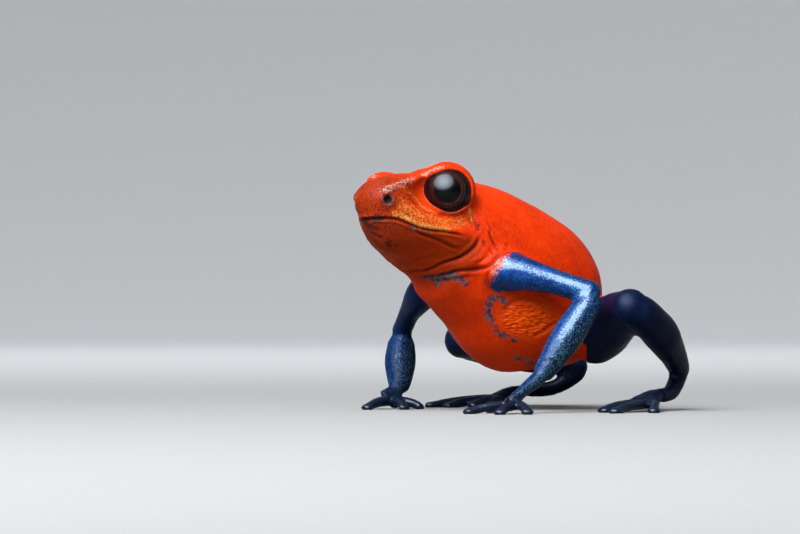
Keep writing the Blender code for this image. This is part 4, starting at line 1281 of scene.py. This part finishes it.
def skinLook():
    # patches and specks of colour by the marks on the skin, mixed with noise and cells in millimetres
    look = Look("skin", Subsurface_Weight=0.06, Subsurface_Radius=(1.0, 0.30, 0.12),
                Subsurface_Scale=0.00035, Specular_IOR_Level=0.02, Coat_IOR=1.5, Coat_Roughness=0.24)
    place = look.millimetres()
    marks = {layer.name: look.mark(layer.name) for layer in skinPiece.data.attributes
             if layer.data_type == "FLOAT" and layer.domain == "POINT"}
    dome, one, two, three = look.cells(place, finish["grain"])
    speck = look.cells(place, finish["speck"])
    broad = look.noise(place, 0.45, 2.0)
    middling = look.noise(place, 2.2, 3.0)
    fine = look.noise(place, 16.0, 2.0)
    clouds = look.noise(place, 5.0, 3.0)
    streaks = look.noise(look.stretched(place, (3.5, 1.1, 0.8)), 1.6, 3.0)

    def cover(under, mask, name, colour=None):
        return look.mix(mask * shares[name], under, colour or paint[name])

    # the red skin, from the widest patches to the finest specks
    red = look.mix(look.step(broad * 0.6 + streaks * 0.4, 0.35, 0.65), paint["deepRed"], paint["red"])
    red = cover(red, look.step(middling * 0.5 + three * 0.5, 0.45, 0.80), "orange")
    red = cover(red, look.step(one, 0.35, 0.95) * marks["face"], "deepRed")
    # painted light on the pebbled flank patch
    red = cover(red, marks["flank"], "litPebble")
    # painted shade on red skin that faces down
    red = cover(red, marks["below"], "underShade")
    red = cover(red, marks["snout"], "snout")
    # the throat and chin: their own darker colour and painted shade on top of it
    throat = cover(paint["throat"], marks["snout"], "chin")
    red = cover(red, marks["throat"], "throat", throat)
    red = cover(red, look.step(marks["gold"] + (middling - 0.5) * 0.8, 0.05, 0.75), "amber")
    golden = look.mix(look.step(three, 0.35, 0.85), paint["gold"], paint["cream"])
    red = cover(red, look.step(marks["gold"] * 0.95 - speck[1] * 0.9, 0.0, 0.40), "gold", golden)
    # painted highlight: speckled pinkish sheen on the ridges, lids and arm root
    red = cover(red, look.step(marks["paintedSheen"] * 0.9 - speck[2] * 0.9, 0.0, 0.30), "sheenPink")
    teal = look.mix(look.step(clouds, 0.42, 0.58), paint["greyTeal"], paint["blueBlack"])
    teal = cover(teal, look.step(fine * 0.6 + clouds * 0.4, 0.55, 0.70), "paleGrey")
    patch = marks["smudge"] * (0.85 + (middling - 0.5) * 3.0 + (clouds - 0.5) * 1.0 + (fine - 0.5) * 1.2)
    red = cover(red, look.step(patch, 0.05, 0.65), "smudge", teal)
    # the skin's own dark specks, and black where the marks are strongest: painted shade in the nostrils and
    # the mouth's slit
    specks = look.step(marks["inkAndShade"] - speck[3] * 0.9, 0.0, 0.15)
    pits = look.step(marks["inkAndShade"], 1.3, 1.8)
    red = look.mix(specks * shares["inkAndShade"] + pits * shares["pit"], red, paint["inkAndShade"])

    # the blue skin, darker down the limb, with painted shade where it faces down or away from the light and
    # on the back legs and right arm, and a painted highlight towards the light
    along = look.step(marks["down"], 0.15, 0.75)
    away = marks["outer"] * along
    blue = look.mix(look.step(middling * 0.6 + fine * 0.4, 0.40, 0.62), paint["blue"], paint["brightBlue"])
    # painted shade where the skin faces the rear left, away from the light, growing down the limb
    blue = cover(blue, away, "outer", paint["blueBlack"])
    blue = cover(blue, marks["crest"], "crest", paint["blueBlack"])
    speckle = along * 0.25 + away * 0.60 + 0.12
    blue = cover(blue, look.step(speckle - speck[1], -0.06, 0.08), "black", paint["blueBlack"])
    blue = cover(blue, look.step(speckle * 0.45 - speck[2], -0.05, 0.05), "teal")
    # painted shade on the limbs' undersides, more towards the hand
    root, further = shares["below"]
    blue = look.mix(marks["below"] * (along * further + root), blue, paint["blueBlack"])
    # a speckled painted highlight where the limbs face towards the light
    blue = cover(blue, look.step(marks["above"] - speck[2] * 0.75, 0.0, 0.45), "highlightBlue")
    # painted shade on the back legs and, in part, the right arm
    blue = cover(blue, marks["hind"], "hindBlack")
    blue = look.mix(look.step(marks["digits"] + (one - 0.5) * 0.5, 0.30, 0.70), blue, paint["digit"])

    # both, meeting in a speckled edge, then painted shade in creases and between the flank's grains, the
    # lids' painted highlight and painted shade under their edge
    between = marks["blue"] * (1 - marks["blue"])
    limbs = look.step(marks["blue"] + between * ((two - 0.5) * 3.4 + (clouds - 0.5) * 3.0), 0.42, 0.55)
    colour = look.mix(limbs, red, blue)
    shade = look.mix(limbs, paint["creaseRed"], paint["blueBlack"])
    colour = look.mix(marks["crease"] * shares["crease"] + marks["valley"] * shares["valley"], colour, shade)
    # a thin pale line on the lids' edge below the eyes: painted highlight
    rim = look.step(marks["proud"], 0.01, 0.03) * look.step(marks["proud"], 0.08, 0.04) * marks["under"]
    colour = cover(colour, rim, "lidEdge")
    # skin tucked under the eyeball's edge goes black: painted shade in the gap
    gapShade = look.step(marks["lid"], 0.01, -0.02) * look.step(marks["proud"], 0.05, 0.02)
    colour = look.mix(gapShade, colour, paint["inkAndShade"])
    look.feed("Base Color", colour)
    look.feed("Roughness", finish["roughness"] - limbs * finish["wetLimbs"]
              + marks["throat"] * finish["dryThroat"] + (fine - 0.5) * finish["roughGrain"])
    least, more = finish["coat"]
    bright = 1 - look.step(marks["hind"], 0.0, 0.6) * finish["hindDull"]
    look.feed("Coat Weight", limbs * (least + speck[3] * more) * bright * (1 - along * finish["handDull"])
              + marks["paintedSheen"] * finish["sheenCoat"])
    plain, onLimbs, onFace = finish["bumpOver"]
    height = ((1 - dome) * 0.8 + fine * 0.5) * (plain + limbs * onLimbs + marks["face"] * onFace)
    look.feed("Normal", look.node("ShaderNodeBump", {}, {**finish["bump"], "Height": height}))
    return look.material


iris = {
    # colours, and angles from the middle of the gaze in radians
    "pupil": (0.0004, 0.0006, 0.0010),
    "pupilEdge": (0.535, 0.56),
    "inside": (0.024, 0.0045, 0.0035),
    "outside": (0.004, 0.0015, 0.002),
    "darkening": (0.62, 0.92),
    "fleck": (0.030, 0.009, 0.007),
    "flecked": 0.5,
    "ring": (0.075, 0.038, 0.036),
    "ringed": 0.7,
    # each ring: where it starts and is full, where it is over and was last full, and the gaps along it
    "rings": (((0.60, 0.63), (0.67, 0.64), (0.42, 0.52)), ((0.73, 0.75), (0.79, 0.76), (0.56, 0.50))),
    "wander": 0.12,
}


def eyeLook():
    # a black pupil in a dark iris with two broken rings, by the angle from the middle of the gaze
    look = Look("wetEye", Roughness=0.21, IOR=1.22)
    local = look.node("ShaderNodeAttribute", {"attribute_name": "gaze"}, {}, "Vector")
    direction = look.node("ShaderNodeVectorMath", {"operation": "NORMALIZE"}, {0: local})
    height = look.node("ShaderNodeSeparateXYZ", {}, {0: direction}, "Z")
    back, up = [Wire(look, height.socket.node.outputs[k]) for k in (0, 1)]
    angle = look.node("ShaderNodeMath", {"operation": "ARCCOSINE"}, {0: height})
    wander = look.noise(look.stretched(direction, (3.0, 3.0, 0.4)), 2.0, 3.0)
    flecks = look.noise(direction, 14.0, 3.0)
    colour = look.mix(look.step(angle, *iris["darkening"]), iris["inside"], iris["outside"])
    colour = look.mix(look.step(flecks, 0.50, 0.66) * iris["flecked"], colour, iris["fleck"])
    radius = angle + (wander - 0.5) * iris["wander"]
    inner, outer = [look.step(radius, *start) * look.step(radius, *end) * look.step(wander, *gaps)
                    for start, end, gaps in iris["rings"]]
    below = look.step(back * 0.8 - up * 0.6, 0.05, 0.45)
    colour = look.mix((inner + outer) * below * iris["ringed"], colour, iris["ring"])
    colour = look.mix(look.step(angle, *iris["pupilEdge"]), iris["pupil"], colour)
    look.feed("Base Color", colour)
    return look.material


skinPiece.data.materials.append(skinLook())
wetEye = eyeLook()
for piece in eyePieces:
    piece.data.materials.append(wetEye)
print("materials made")

# The floor, the light and the camera.

stage = {
    "flat": 300.0,
    "rim": 1000.0,
    "rise": 420.0,
    "rings": (12, 40),                   # on the flat part and on the curved one
    "sides": 96,
    "near": (0.29, 0.287, 0.283),
    "far": (0.93, 0.93, 0.93),           # paler behind the frog, where less of the lamps' light falls
    "paling": (20.0, 240.0),             # from and to, behind the frog
}
camera = {
    "position": (258.27, -187.06, 8.16),
    "azimuth": 55.0,
    "lens": 252.0,
    "sensor": 36.0,
    "clip": (0.005, 10.0),               # metres
}
light = {
    "elevation": 47.0,
    "left": 29.0,                        # degrees to the left of the camera
    # distance, width and height in metres, and power: a soft lamp, its brighter middles, one for gloss only
    "lamps": {"soft": (0.27, 0.44, 0.44, 0.12), "middle": (0.26, 0.33, 0.33, 0.30),
              "core": (0.25, 0.21, 0.21, 0.70), "gloss": (0.24, 0.42, 0.36, 6.0)},
    "colour": (0.93, 0.97, 1.0),
    "glossColour": (0.74, 0.87, 1.0),
    "spread": 130.0,
    "sky": ((0.93, 0.95, 1.0), 0.38),
}


def bowl():
    # a flat disc whose edge curves up as a quarter of a wave
    inner, outer = stage["rings"]
    radius = np.concatenate([np.linspace(0.0, stage["flat"], inner),
                             np.linspace(stage["flat"], stage["rim"], outer)[1:]])
    beyond = np.clip((radius - stage["flat"]) / (stage["rim"] - stage["flat"]), 0.0, 1.0)
    height = stage["rise"] * (1 - np.cos(beyond * pi / 2))
    turn = np.linspace(0.0, 2 * pi, stage["sides"], endpoint=False)
    rings = np.stack([radius[:, None] * np.cos(turn), radius[:, None] * np.sin(turn),
                      np.repeat(height[:, None], len(turn), axis=1)], axis=2)
    quads = ringQuads(rings)[2][:, ::-1]
    return placed("floor", meshFrom("floor", rings.reshape(-1, 3), quads, np.empty((0, 3), int), millimetre))


turn = radians(camera["azimuth"])
floor = bowl()
floorLook = Look("floor", Roughness=0.85, Specular_IOR_Level=0.0)
behind = floorLook.node("ShaderNodeVectorMath", {"operation": "DOT_PRODUCT"},
                        {0: floorLook.millimetres(), 1: (-sin(turn), cos(turn), 0.0)}, "Value")
paler = floorLook.step(behind, *stage["paling"])
floorLook.feed("Base Color", floorLook.mix(paler, stage["near"], stage["far"]))
floor.data.materials.append(floorLook.material)

lens = bpy.data.cameras.new("camera")
lens.lens = camera["lens"]
lens.sensor_width = camera["sensor"]
lens.clip_start, lens.clip_end = camera["clip"]
eyePoint = placed("camera", lens)
eyePoint.matrix_world = (Matrix.Translation((np.array(camera["position"]) + shift) * millimetre)
                         @ Matrix.Rotation(turn, 4, "Z") @ Matrix.Rotation(pi / 2, 4, "X"))
bpy.context.scene.camera = eyePoint

towards = np.array((sin(turn), -cos(turn), 0.0))
right = np.array((cos(turn), sin(turn), 0.0))
tilt, aside = radians(light["elevation"]), radians(light["left"])
toLight = cos(tilt) * (cos(aside) * towards - sin(aside) * right) + sin(tilt) * np.array((0, 0, 1))
for name, (distance, wide, high, power) in light["lamps"].items():
    lamp = bpy.data.lights.new(name, "AREA")
    lamp.shape = "ELLIPSE"
    lamp.energy = power
    lamp.size = wide
    lamp.size_y = high
    lamp.color = light["glossColour" if name == "gloss" else "colour"]
    lamp.spread = radians(light["spread"])
    hung = placed(name, lamp)
    hung.matrix_world = (Matrix.Translation(toLight * distance)
                         @ Vector(toLight).to_track_quat("Z", "Y").to_matrix().to_4x4())
    hung.visible_diffuse = name != "gloss"
world = bpy.data.worlds.new("world")
bpy.context.scene.world = world
world.use_nodes = True
sky = world.node_tree.nodes["Background"].inputs
sky["Color"].default_value = (*light["sky"][0], 1)
sky["Strength"].default_value = light["sky"][1]
bpy.context.scene.view_settings.view_transform = "Standard"
print("floor, light and camera made")
